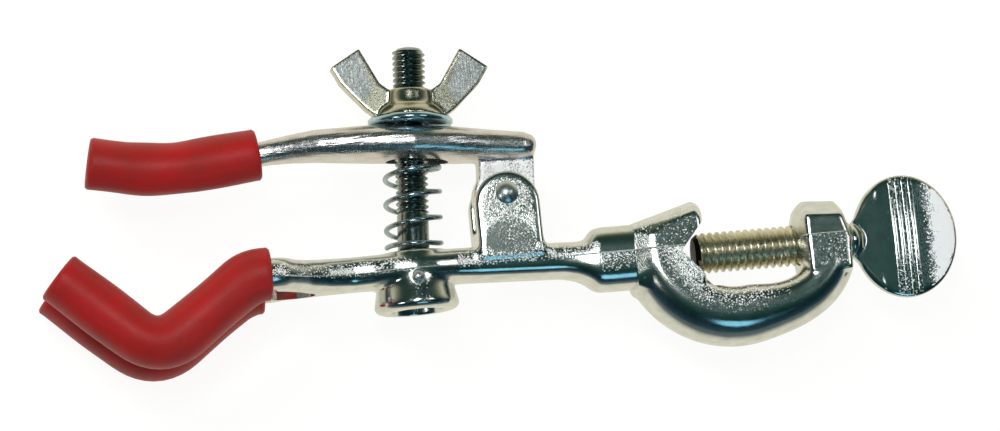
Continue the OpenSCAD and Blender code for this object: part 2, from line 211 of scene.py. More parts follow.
def lathe(profile: Sequence[Point], segments: int = 64, closed: bool = False) -> BMesh:
    """A shape turned round the Y axis.

    Args:
        profile: Points of (radius, height).
        segments: Steps in a full turn.
        closed: Whether the profile closes on itself, as a washer's does.

    Returns:
        The closed shape.
    """
    bm = bmesh.new()
    verts = [bm.verts.new((r, h, 0)) for r, h in profile]
    edges = [bm.edges.new(pair) for pair in zip(verts, verts[1:])]
    if closed:
        edges.append(bm.edges.new((verts[-1], verts[0])))
    bmesh.ops.spin(bm, geom=verts + edges, cent=(0, 0, 0), axis=(0, 1, 0), dvec=(0, 0, 0),
                   angle=2 * math.pi, steps=segments, use_merge=True, use_duplicate=False)
    bmesh.ops.remove_doubles(bm, verts=bm.verts, dist=MERGE)
    bmesh.ops.recalc_face_normals(bm, faces=bm.faces)
    return bm


def arc(x: float, y: float, radius: float, start: int, stop: int, step: int = 12) -> list[Point]:
    """Points round (x, y), from one angle to another in degrees, both included."""
    return [(x + radius * math.cos(math.radians(a)), y + radius * math.sin(math.radians(a)))
            for a in range(start, stop + 1, step)]


def prism(outline: Sequence[Point], low: float, high: float) -> BMesh:
    """A plate cut to an outline, between two depths along Z.

    Args:
        outline: The corners of the outline, in order.
        low: The lower depth.
        high: The upper depth.

    Returns:
        The closed shape.
    """
    bm = bmesh.new()
    face = bm.faces.new([bm.verts.new((x, y, low)) for x, y in outline])
    made = bmesh.ops.extrude_face_region(bm, geom=[face])["geom"]
    bmesh.ops.translate(bm, vec=(0, 0, high - low), verts=[v for v in made if isinstance(v, BMVert)])
    bmesh.ops.recalc_face_normals(bm, faces=bm.faces)
    return bm


def drafted(levels: Sequence[tuple[float, Sequence[Point]]]) -> BMesh:
    """A plate with drafted edges, the same on both sides.

    Args:
        levels: Outlines, each with its distance from the middle of the plate.

    Returns:
        The closed shape.
    """
    bm = bmesh.new()
    for half, outline in levels:
        for x, y in outline:
            bm.verts.new((x, y, half))
            bm.verts.new((x, y, -half))
    inner = bmesh.ops.convex_hull(bm, input=bm.verts)["geom_interior"]
    bmesh.ops.delete(bm, geom=[v for v in inner if isinstance(v, BMVert)], context="VERTS")
    bmesh.ops.recalc_face_normals(bm, faces=bm.faces)
    return bm


def threaded(radius: float, depth: float, pitch: float, low: float, high: float,
             segments: int = 40) -> BMesh:
    """A length of threaded rod along the Y axis.

    Args:
        radius: Radius over the crests.
        depth: Depth of the thread.
        pitch: Pitch of the thread.
        low: Height of its lower end.
        high: Height of its upper end.
        segments: Steps in a turn.

    Returns:
        The closed shape.
    """
    bm = bmesh.new()
    spare_turns, lead_in, crest, weld = 3, 1.5, 0.04, 0.002
    turns = math.ceil((high - low) / pitch) + spare_turns
    start = low - lead_in * pitch
    profile = [(radius - depth, 0.0), (radius - crest, 0.38), (radius, 0.5), (radius - crest, 0.62),
               (radius - depth, 1.0)]
    verts = [bm.verts.new((r, start + h * pitch, 0)) for r, h in profile]
    edges = [bm.edges.new(pair) for pair in zip(verts, verts[1:])]
    bmesh.ops.spin(bm, geom=verts + edges, cent=(0, 0, 0), axis=(0, 1, 0),
                   dvec=(0, pitch / segments, 0), angle=2 * math.pi * turns,
                   steps=turns * segments, use_merge=False, use_duplicate=False)
    bmesh.ops.remove_doubles(bm, verts=bm.verts, dist=weld)
    for height, way in ((low, -1), (high, 1)):
        bmesh.ops.bisect_plane(bm, geom=bm.verts[:] + bm.edges[:] + bm.faces[:], dist=MERGE,
                               plane_co=(0, height, 0), plane_no=(0, way, 0), clear_outer=True)
        rim = [e for e in bm.edges if e.is_boundary and
               all(abs(v.co.y - height) < 0.01 for v in e.verts)]
        bmesh.ops.contextual_create(bm, geom=rim)
    bmesh.ops.recalc_face_normals(bm, faces=bm.faces)
    return bm


def placed(bm: BMesh, matrix: Matrix) -> BMesh:
    """Moves a whole shape."""
    bmesh.ops.transform(bm, matrix=matrix, verts=bm.verts)
    return bm


def along_x(bm: BMesh, x: float) -> BMesh:
    """Lays a shape made along Y along X, with its zero at x."""
    return placed(bm, Matrix.Translation((x, 0, 0)) @ Matrix.Rotation(-math.pi / 2, 4, "Z"))


def linked(name: str, data: ID) -> Object:
    """Makes an object and puts it in the scene.

    Args:
        name: Its name.
        data: Its mesh, light or camera.

    Returns:
        The object.
    """
    obj = bpy.data.objects.new(name, data)
    bpy.context.scene.collection.objects.link(obj)
    return obj


def bench(bm: BMesh) -> Object:
    """Lays a shape on the bench as an object for a modifier to work on.

    Args:
        bm: The shape, which is used up.

    Returns:
        The object.
    """
    mesh = bpy.data.meshes.new("bench")
    bm.to_mesh(mesh)
    bm.free()
    return linked("bench", mesh)


def taken_up(obj: Object) -> BMesh:
    """Takes the worked shape off the bench, with its modifiers applied.

    Args:
        obj: The object on the bench, which is cleared away.

    Returns:
        The shape.
    """
    graph = bpy.context.evaluated_depsgraph_get()
    worked = obj.evaluated_get(graph)
    bm = bmesh.new()
    bm.from_mesh(worked.to_mesh())
    worked.to_mesh_clear()
    mesh = obj.data
    bpy.data.objects.remove(obj)
    bpy.data.meshes.remove(mesh)
    return bm


def joined(body: BMesh, tools: Sequence[BMesh], how: Join) -> BMesh:
    """Adds closed shapes to another one after the other, or cuts them out.

    Args:
        body: The shape that is kept.
        tools: The shapes that are added or cut.
        how: Which of the two.

    Returns:
        The new shape.
    """
    for tool in tools:
        base, other = bench(body), bench(tool)
        work = base.modifiers.new("join", "BOOLEAN")
        work.operation = how.value
        work.solver = "MANIFOLD"
        work.object = other
        body = taken_up(base)
        mesh = other.data
        bpy.data.objects.remove(other)
        bpy.data.meshes.remove(mesh)
    return body


def moulded(shapes: Sequence[BMesh], grain: float, passes: int) -> BMesh:
    """Runs overlapping shapes into one skin with soft edges, as a casting has.

    Args:
        shapes: The overlapping closed shapes, which are used up.
        grain: Size of the skin's faces.
        passes: How often the skin is eased.

    Returns:
        The one closed skin.
    """
    whole = bmesh.new()
    for shape in shapes:
        mesh = bpy.data.meshes.new("part")
        shape.to_mesh(mesh)
        shape.free()
        whole.from_mesh(mesh)
        bpy.data.meshes.remove(mesh)
    obj = bench(whole)
    work = obj.modifiers.new("skin", "REMESH")
    work.mode = "VOXEL"
    work.voxel_size = grain
    skin = taken_up(obj)
    for _ in range(passes):
        bmesh.ops.smooth_vert(skin, verts=skin.verts, factor=0.5,
                              use_axis_x=True, use_axis_y=True, use_axis_z=True)
    return skin


def trimmed(bm: BMesh, x: float, way: int) -> BMesh:
    """Cuts a closed shape square at x and closes it there.

    Args:
        bm: The shape.
        x: The place of the cut.
        way: The side that goes, 1 for beyond x and -1 for before it.

    Returns:
        The closed shape.
    """
    bmesh.ops.bisect_plane(bm, geom=bm.verts[:] + bm.edges[:] + bm.faces[:], dist=MERGE,
                           plane_co=(x, 0, 0), plane_no=(way, 0, 0), clear_outer=True)
    rim = [e for e in bm.edges if e.is_boundary]
    bmesh.ops.contextual_create(bm, geom=rim)
    bmesh.ops.recalc_face_normals(bm, faces=bm.faces)
    return bm


def ease(share: float) -> float:
    """A smooth step from 0 to 1."""
    t = min(1.0, max(0.0, share))
    return t * t * (3 - 2 * t)


# ---------------------------------------------------------------- finishes

def linear(colour: str) -> tuple[float, float, float, float]:
    """Turns an sRGB colour to linear light.

    Args:
        colour: The colour, as "#RRGGBB".

    Returns:
        Red, green, blue and an alpha of 1.
    """
    parts = [int(colour[i:i + 2], 16) / 255 for i in (1, 3, 5)]
    r, g, b = ((c / 12.92 if c <= 0.04045 else ((c + 0.055) / 1.055) ** 2.4) for c in parts)
    return (r, g, b, 1.0)


def wired(tree: NodeTree, node: Node, inputs: dict) -> Node:
    """Sets and links a node's inputs.

    Args:
        tree: The tree that holds the node.
        node: The node.
        inputs: Values, output sockets, or nodes that give their first output, by
            input name or number.

    Returns:
        The node.
    """
    for name, value in inputs.items():
        source = value.outputs[0] if isinstance(value, Node) else value
        if isinstance(source, NodeSocket):
            tree.links.new(source, node.inputs[name])
        else:
            node.inputs[name].default_value = source
    return node


def add_node(tree: NodeTree, kind: str, inputs: dict | None = None,
             **settings: object) -> Node:
    """Adds a node with its settings, values and links.

    Args:
        tree: The tree that it joins.
        kind: The node's type.
        inputs: Its inputs, as `wired` takes them.
        **settings: The node's own properties.

    Returns:
        The node.
    """
    node = tree.nodes.new(kind)
    for name, value in settings.items():
        setattr(node, name, value)
    return wired(tree, node, inputs or {})


# width of the slow patches in a plated skin, and half width and height of a parting line
CLOUD_MM = 2.5
SEAM_HALF_MM = 0.16
SEAM_HIGH_MM = 0.12
# how soon a painted glint fleck reaches full white, and how matt and how metallic it then is
GLINT_EDGE = 0.12
GLINT_ROUGH = 0.5
GLINT_METAL = 0.1
# how much of the grain is left where the skin is polished
POLISHED_GRAIN = 0.12


@dataclass(frozen=True)
class Metal:
    """A plated or bare metal, with its grain, streaks and painted glints.

    The `cast` attribute of a piece says where its skin is as cast, from 0 for polished to 1 for sandy,
    weighted towards faces that look up at the flash. Grain and the painted glints follow it. A real
    grain of about 0.1 mm is too fine to show, so `grain_mm` draws it at 0.2 mm or coarser.
    """

    name: str
    colour: str
    dull: str
    rough: float
    grain_mm: float = 0.35
    grain_deep_mm: float = 0.0
    painted_glint: float = 0.0
    streak_mm: tuple[float, float, float] = (0.0, 0.0, 0.0)
    streak_deep_mm: float = 0.0
    seam_y: float | None = None

    def build(self) -> Material:
        """Makes the material.

        Returns:
            The material.
        """
        material = bpy.data.materials.new(self.name)
        material.use_nodes = True
        tree = material.node_tree
        place = add_node(tree, "ShaderNodeTexCoord").outputs["Object"]
        cast = add_node(tree, "ShaderNodeAttribute", attribute_name="cast").outputs["Fac"]
        cloud = add_node(tree, "ShaderNodeTexNoise",
                         {"Vector": place, "Scale": 1 / (CLOUD_MM * MM), "Detail": 3.0})
        grain = add_node(tree, "ShaderNodeTexNoise",
                         {"Vector": place, "Scale": 1 / (self.grain_mm * MM), "Detail": 2.0})
        patch = add_node(tree, "ShaderNodeMapRange",
                         {"Value": cloud, "From Min": 0.35, "From Max": 0.7})
        plate = add_node(tree, "ShaderNodeMix",
                         {0: patch, 6: linear(self.colour), 7: linear(self.dull)},
                         data_type="RGBA").outputs[2]
        rough = add_node(tree, "ShaderNodeMapRange",
                         {"Value": grain, "From Min": 0.3, "From Max": 0.7,
                          "To Min": self.rough * 0.75, "To Max": self.rough * 1.3})
        skin = {"Base Color": plate, "Roughness": rough, "Metallic": 1.0}
        # painted glints: white flecks strewn over the sandy skin
        if self.painted_glint:
            skin = self.painted_glints(tree, place, cast, cloud, skin)
        height = self.relief(tree, place, cast, grain)
        if height is not None:
            skin["Normal"] = add_node(tree, "ShaderNodeBump", {"Height": height, "Distance": MM})
        wired(tree, tree.nodes["Principled BSDF"], skin)
        return material

    def painted_glints(self, tree: NodeTree, place: NodeSocket,
                cast: NodeSocket, cloud: Node, skin: dict) -> dict:
        """Strews painted glints over the sandy skin: white flecks that are matt and barely metallic.

        Args:
            tree: The material's tree.
            place: Object coordinates.
            cast: How sandy the skin is, and where glints are painted.
            cloud: The slow noise that crowds the facets in places.
            skin: The shader's inputs without the facets.

        Returns:
            The shader's inputs with them.
        """
        facet = add_node(tree, "ShaderNodeTexVoronoi",
                         {"Vector": place, "Scale": 1 / (self.grain_mm * MM)}).outputs["Color"]
        chance = add_node(tree, "ShaderNodeSeparateColor", {0: facet})
        crowd = add_node(tree, "ShaderNodeMapRange",
                         {"Value": cloud, "From Min": 0.3, "From Max": 0.66, "To Min": 0.35})
        dense = add_node(tree, "ShaderNodeMath", {0: cast, 1: crowd}, operation="MULTIPLY")
        share = add_node(tree, "ShaderNodeMath", {0: dense, 1: self.painted_glint}, operation="MULTIPLY")
        limit = add_node(tree, "ShaderNodeMath", {0: 1.0, 1: share}, operation="SUBTRACT")
        over = add_node(tree, "ShaderNodeMath", {0: chance, 1: limit}, operation="SUBTRACT")
        glint_mask = add_node(tree, "ShaderNodeMapRange", {"Value": over, "From Max": GLINT_EDGE})
        # painted glint: each fleck turns white, matt and barely metallic
        glint_colour = add_node(tree, "ShaderNodeMix",
                          {0: glint_mask, 6: skin["Base Color"], 7: linear("#FFFFFF")},
                          data_type="RGBA").outputs[2]
        metal = add_node(tree, "ShaderNodeMapRange",
                         {"Value": glint_mask, "To Min": 1.0, "To Max": GLINT_METAL})
        matt = add_node(tree, "ShaderNodeMath", {0: glint_mask, 1: GLINT_ROUGH}, operation="MULTIPLY")
        rough = add_node(tree, "ShaderNodeMath", {0: skin["Roughness"], 1: matt},
                         operation="MAXIMUM")
        return {"Base Color": glint_colour, "Roughness": rough, "Metallic": metal}

    def relief(self, tree: NodeTree, place: NodeSocket,
               cast: NodeSocket, grain: Node) -> Node | None:
        """The height of the skin, in millimetres.

        Args:
            tree: The material's tree.
            place: Object coordinates.
            cast: How sandy the skin is.
            grain: The fine noise.

        Returns:
            The node that gives the height, or None on a smooth finish.
        """
        parts = []
        if self.grain_deep_mm:
            reach = add_node(tree, "ShaderNodeMapRange", {"Value": cast, "To Min": POLISHED_GRAIN})
            depth = add_node(tree, "ShaderNodeMath", {0: reach, 1: self.grain_deep_mm},
                             operation="MULTIPLY")
            parts.append(add_node(tree, "ShaderNodeMath", {0: grain, 1: depth},
                                  operation="MULTIPLY"))
        if self.streak_deep_mm:
            scale = [1 / (size * MM) for size in self.streak_mm]
            drawn = add_node(tree, "ShaderNodeMapping", {"Vector": place, "Scale": scale})
            streak = add_node(tree, "ShaderNodeTexNoise",
                              {"Vector": drawn, "Scale": 1.0, "Detail": 3.0})
            parts.append(add_node(tree, "ShaderNodeMath", {0: streak, 1: self.streak_deep_mm},
                                  operation="MULTIPLY"))
        if self.seam_y is not None:
            y = add_node(tree, "ShaderNodeSeparateXYZ", {0: place}).outputs["Y"]
            past = add_node(tree, "ShaderNodeMath", {0: y, 1: self.seam_y * MM},
                            operation="SUBTRACT")
            off = add_node(tree, "ShaderNodeMath", {0: past}, operation="ABSOLUTE")
            parts.append(add_node(tree, "ShaderNodeMapRange",
                                  {"Value": off, "From Max": SEAM_HALF_MM * MM,
                                   "To Min": SEAM_HIGH_MM, "To Max": 0.0}))
        if not parts:
            return None
        height = parts[0]
        for extra in parts[1:]:
            height = add_node(tree, "ShaderNodeMath", {0: height, 1: extra}, operation="ADD")
        return height


@dataclass(frozen=True)
class Rubber:
    """Moulded red rubber tube: matt, with a faint bloom and small scuffs."""

    name: str = "moulded_red_rubber"
    colour: str = "#AE1B1B"
    bloom: str = "#8A241D"
    bloom_mm: float = 6.0
    scuff_mm: float = 0.5
    scuff_deep_mm: float = 0.03

    def build(self) -> Material:
        """Makes the material.

        Returns:
            The material.
        """
        material = bpy.data.materials.new(self.name)
        material.use_nodes = True
        tree = material.node_tree
        place = add_node(tree, "ShaderNodeTexCoord").outputs["Object"]
        cloud = add_node(tree, "ShaderNodeTexNoise",
                         {"Vector": place, "Scale": 1 / (self.bloom_mm * MM), "Detail": 4.0})
        scuff = add_node(tree, "ShaderNodeTexNoise",
                         {"Vector": place, "Scale": 1 / (self.scuff_mm * MM), "Detail": 3.0})
        patch = add_node(tree, "ShaderNodeMapRange",
                         {"Value": cloud, "From Min": 0.35, "From Max": 0.75, "To Max": 0.7})
        colour = add_node(tree, "ShaderNodeMix",
                          {0: patch, 6: linear(self.colour), 7: linear(self.bloom)},
                          data_type="RGBA").outputs[2]
        height = add_node(tree, "ShaderNodeMath", {0: scuff, 1: self.scuff_deep_mm},
                          operation="MULTIPLY")
        bump = add_node(tree, "ShaderNodeBump", {"Height": height, "Distance": MM})
        rough = add_node(tree, "ShaderNodeMapRange",
                         {"Value": scuff, "From Min": 0.3, "From Max": 0.7,
                          "To Min": 0.4, "To Max": 0.52})
        wired(tree, tree.nodes["Principled BSDF"], {
            "Base Color": colour, "Normal": bump, "Roughness": rough, "IOR": 1.5,
            "Specular IOR Level": 0.35, "Sheen Weight": 0.04, "Sheen Roughness": 0.4})
        return material


def made(finish: Metal | Rubber) -> Material:
    """A field that holds a finish's material, made with the dataclass it is in."""
    return field(default_factory=finish.build)


@dataclass
class Finishes:
    """The finishes of the clamp, each made once."""

    # chrome over sand-cast metal: a dark mirror, with painted glints as white flecks on the cast skin
    cast: Material = made(Metal("chrome_on_sand_casting", "#E2E5E1", "#CDD2CB", 0.16, grain_mm=0.2,
                                grain_deep_mm=0.045, painted_glint=0.5, seam_y=1.0))
    # chrome over a forged and linished bar: long streaks in the mirror, and painted glints as white
    # flecks on the lug
    forged: Material = made(Metal("chrome_on_linished_forging", "#E8E5E6", "#D6D3CF", 0.26,
                                  grain_mm=0.2, painted_glint=0.9, streak_mm=(13, 0.8, 0.8),
                                  streak_deep_mm=0.13))
    # zinc plate with a blue passivate: a soft bluish mirror
    zinc: Material = made(Metal("blue_zinc_plated_steel", "#BEDAE2", "#A0C6D2", 0.2,
                                grain_deep_mm=0.012))
    # nickel over a cast nut: warm and a little soft
    nickel: Material = made(Metal("nickel_on_cast_nut", "#D2D0C0", "#BBB9A2", 0.22,
                                  grain_deep_mm=0.02))
    # the wings' flats come blasted from the die: an even pale grey with drawn lines
    blasted: Material = made(Metal("nickel_on_blasted_flat", "#C9CDCB", "#B4B9B7", 0.5,
                                   streak_mm=(0.32, 2.5, 2.5), streak_deep_mm=0.06))
    # zinc over a rolled thread: a cool grey with sharp glints on the crests
    bolt: Material = made(Metal("zinc_on_rolled_bolt", "#A7B1AF", "#8F9A97", 0.16,
                                grain_deep_mm=0.01))
    # drawn and plated spring wire: a thin bluish line of light along each coil
    spring: Material = made(Metal("plated_spring_wire", "#B4C4CA", "#9DAEB5", 0.22,
                                  grain_deep_mm=0.008))
    # nickel over a rolled thread: warmer and softer than zinc
    screw: Material = made(Metal("nickel_on_rolled_screw", "#E4DFC8", "#D0CAB0", 0.3,
                                 grain_deep_mm=0.01))
    # the screw's tip is turned after plating: bare steel, painted near black as a painted dark
    # reflection
    turned: Material = made(Metal("tip_steel_painted_dark", "#2B2B27", "#22221F", 0.5,
                                  grain_deep_mm=0.01))
    # chrome over a pressed head: a flat mirror with painted glints, white flecks that crowd towards one
    # side
    thumb: Material = made(Metal("chrome_on_pressed_thumb_head", "#E0E5E3", "#CBD2CF", 0.13,
                                 grain_mm=0.2, grain_deep_mm=0.012, painted_glint=1.05))
    # chrome over a peened rivet head: a soft round glint
    pin: Material = made(Metal("chrome_on_rivet_head", "#E9EEF0", "#D8DEE0", 0.3,
                               grain_deep_mm=0.01))
    # moulded rubber: a broad dull highlight on a deep red
    rubber: Material = made(Rubber())


def mark_sand_and_glint(bm: BMesh, shade: Shade | None) -> None:
    """Stores how sandy the skin is at each point, which also sets where glints are painted.

    Args:
        bm: The shape, in millimetres.
        shade: The sandiness for a place and its normal, weighted to where glints are painted.
    """
    layer = bm.verts.layers.float.new("cast")
    bm.normal_update()
    for vert in bm.verts:
        vert[layer] = shade(vert.co, vert.normal) if shade else 0.0


def finished(bm: BMesh, name: str, body: str | None, dress: Sequence[Material],
             stands_for: Sequence[str], shade: Shade | None = None,
             crease: float = 40.0) -> Object:
    """Turns a shape in millimetres into a finished piece.

    Args:
        bm: The closed shape.
        name: The piece's name.
        body: The body that it rides on, or None where it rides on none.
        dress: Its materials, by the faces' material numbers.
        stands_for: The nodes that it replaces.
        shade: How sandy the skin is, and where glints are painted.
        crease: Angle past which an edge is drawn sharp, in degrees.

    Returns:
        The piece.
    """
    mark_sand_and_glint(bm, shade)
    placed(bm, Matrix.Scale(MM, 4))
    mesh = bpy.data.meshes.new(name)
    bm.to_mesh(mesh)
    bm.free()
    mesh.shade_smooth()
    mesh.set_sharp_from_angle(angle=math.radians(crease))
    for material in dress:
        mesh.materials.append(material)
    piece = linked(name, mesh)
    if body:
        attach(piece, body)
    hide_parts(*stands_for)
    log.info("%s: %d faces on %s", name, len(mesh.polygons), body or "two bodies")
    return piece


# ---------------------------------------------------------------- places

@dataclass(frozen=True)
class Places:
    """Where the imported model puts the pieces, in millimetres."""

    hinge: Vector
    foot: Vector
    lean: float
    neck_x: float
    head_end: float
    tip_x: float

    @classmethod
    def read(cls) -> "Places":
        """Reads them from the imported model.

        Returns:
            The places.
        """
        joints = {j["name"]: j for j in frame["record"]["behaviour"]["joints"]}
        axis = Vector(joints["washer_slide"]["axis"])
        return cls(hinge=Vector(joints["jaw_hinge"]["pos_m"]) / MM,
                   foot=Vector(joints["bolt_swing"]["pos_m"]) / MM,
                   lean=math.atan2(axis.x, axis.y),
                   neck_x=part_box("lower_jaw")[1][0] / MM,
                   head_end=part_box("boss_head")[1][0] / MM,
                   tip_x=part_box("clamp_screw")[0][0] / MM)

    def in_jaw(self, bm: BMesh) -> BMesh:
        """Places a shape made in the upper jaw's frame."""
        return placed(bm, Matrix.Translation(self.hinge) @ Matrix.Rotation(-self.lean, 4, "Z"))

    def on_bolt(self, bm: BMesh) -> BMesh:
        """Places a shape made along the bolt, from its cross pin."""
        return placed(bm, Matrix.Translation(self.foot) @ Matrix.Rotation(-self.lean, 4, "Z"))


# ---------------------------------------------------------------- boss head

@dataclass
class BossHead:
    """The cast head: a C-shaped hook with a V lip and a block for the screw.

    Angles round the hook are in degrees, from 196 at its root to 338 at the block.
    """

    places: Places
    head_back: float = 8.8
    notch_face: float = 6.9
    notch_angle: float = 50.0
    mouth: float = 23.3
    block_top: float = 8.2
    lip_top: float = 10.0
    lip_reach: float = 5.4
    depth: float = 15.0
    throat: float = 7.2
    thick: float = 11.4
    screw_r: float = 4.0
    centre_back: float = 10.75
    centre_up: float = 3.4
    hook_from: float = 196.0
    hook_to: float = 338.0
    hook_steps: int = 48
    root_r: float = 10.2
    inner_boxy: float = 0.6
    skin_mm: float = 0.28
    skin_passes: int = 9

    @property
    def notch_x(self) -> float:
        """The back of the V."""
        return self.places.neck_x + self.head_back

    @property
    def block_x(self) -> float:
        """The near face of the screw block."""
        return self.notch_x + self.mouth

    @property
    def centre(self) -> Vector:
        """The middle of the hook's bend."""
        return Vector((self.notch_x + self.centre_back, self.centre_up, 0))

    def hook(self) -> BMesh:
        """The hook, swept round the throat and run out to the block.

        Returns:
            The closed shape.
        """
        centre = self.centre
        outer = self.throat + self.thick + centre.y
        inner = self.throat + centre.y
        to_end = math.hypot(self.places.head_end - 0.6 - centre.x, 7 + centre.y)
        to_block = self.block_x + 3.45 - centre.x
        stations = []
        # the outer side leaves its circle at 285, the inner one at 278 and, at the root, at 262
        for step in range(self.hook_steps + 1):
            angle = self.hook_from + (self.hook_to - self.hook_from) * step / self.hook_steps
            r2 = outer + (to_end - outer) * ease((angle - 285) / 53)
            r1 = (inner + (self.root_r - inner) * ease((262 - angle) / 53)
                  + (to_block - inner) * ease((angle - 278) / 60))
            a = math.radians(angle)
            way = Vector((math.cos(a), math.sin(a), 0))
            stations.append(Station(centre + way * (r1 + r2) / 2, Vector((-way.y, way.x, 0)),
                                    (r2 - r1) / 2, self.depth / 2 + 0.1, 1.0, self.inner_boxy))
        return sweep(stations, 40)

    def shoulder(self) -> BMesh:
        """The block that holds the screw, with drafted sides.

        Returns:
            The closed shape.
        """
        block, right, top, low = self.block_x, self.places.head_end, self.block_top, 1 - self.throat
        return drafted([
            (2, [(block + 2.3, low), (block + 1.8, -3.6), (block + 0.1, -1.6), (block - 0.5, 1),
                 (block - 0.2, 4.4), (block + 0.5, top - 1.5), (block + 1.9, top + 0.1),
                 (right - 2.6, top - 0.3), (right - 1, top - 2.4), (right, 0), (right - 0.3, low)]),
            (self.depth / 2, [(block + 1.5, low), (block + 1.4, top - 3.2), (right - 2.2, top - 3.6),
                              (right - 0.9, 0), (right - 1.2, low)])])

    def lip(self) -> BMesh:
        """The lip over the V, from the neck to its tip, with drafted sides.

        Returns:
            The closed shape.
        """
        neck, notch_x, top, half = self.places.neck_x, self.notch_x, self.lip_top, self.depth / 2
        start, tip = neck - 2, notch_x + self.lip_reach
        return drafted([
            (2, [(start, -6), (start, 6), (neck, 6.4), (tip - 1.8, top + 0.1), (tip - 0.4, top - 0.7),
                 (tip, top - 2.6), (notch_x + 4.6, -7.5), (neck + 5, -10)]),
            (half - 1.6, [(start, -4.6), (start, 4.8), (neck + 0.5, 5.2), (tip - 1.8, top - 1.2),
                          (tip - 0.6, top - 2.6), (notch_x + 4.4, -7), (neck + 5, -8)]),
            (half, [(neck + 3.6, -2.4), (neck + 3.4, 3.8), (tip - 2, top - 2.5), (tip - 1.1, top - 4),
                    (notch_x + 4, -6.4), (notch_x - 1, -5.4)])])

    def bore(self) -> BMesh:
        """The tool that bores the block for the screw."""
        return along_x(lathe([(0, -1), (self.screw_r, -1), (self.screw_r, 14), (0, 14)], 48),
                       self.block_x)

    def sandy(self, co: Vector, normal: Vector) -> float:
        """How sandy the head is, and where glints are painted: most on the inner side of the hook, on
        faces that look up.

        Args:
            co: A place on the skin.
            normal: Its normal.

        Returns:
            The sandiness, from 0 to 1.
        """
        if co.x > self.block_x - 2 and co.y > -5:
            return 0.35 if co.y < 1 else 0.12
        if co.y > 1:
            return 0.3
        inward = ease((17.5 - (co - self.centre).xy.length) / 5)
        # painted glint: flecks gather where the face looks up at the flash
        return 0.06 + 0.9 * inward * abs(normal.z)

    def build(self, finishes: Finishes) -> None:
        """Builds and dresses the head.

        Args:
            finishes: The clamp's finishes.
        """
        skin = moulded([self.hook(), self.shoulder(), self.lip()], self.skin_mm, self.skin_passes)
        skin = trimmed(skin, self.places.neck_x, -1)
        skin = joined(skin, [self.notch(), self.bore()], Join.CUT)
        finished(skin, "boss_head_casting", "lower_jaw", [finishes.cast],
                 ["boss_head"], self.sandy, 45)

    def notch(self) -> BMesh:
        """The tool that cuts the V and clears the mouth.

        Returns:
            The closed tool.
        """
        notch_x, block = self.notch_x, self.block_x
        c = math.cos(math.radians(self.notch_angle))
        s = math.sin(math.radians(self.notch_angle))
        face, reach = self.notch_face, self.notch_face + 1
        half = self.depth / 2 + 1
        return prism([(notch_x, 0), (notch_x + face * c, -face * s),
                      (notch_x + face * c + 1.2, -self.throat), (block - 1, -self.throat + 1.6),
                      (block - 1, self.lip_top + 1), (notch_x + reach * c + 3, self.lip_top + 1),
                      (notch_x + 1.35 * reach * c, 1.35 * reach * s)], -half, half)


# ---------------------------------------------------------------- lower jaw

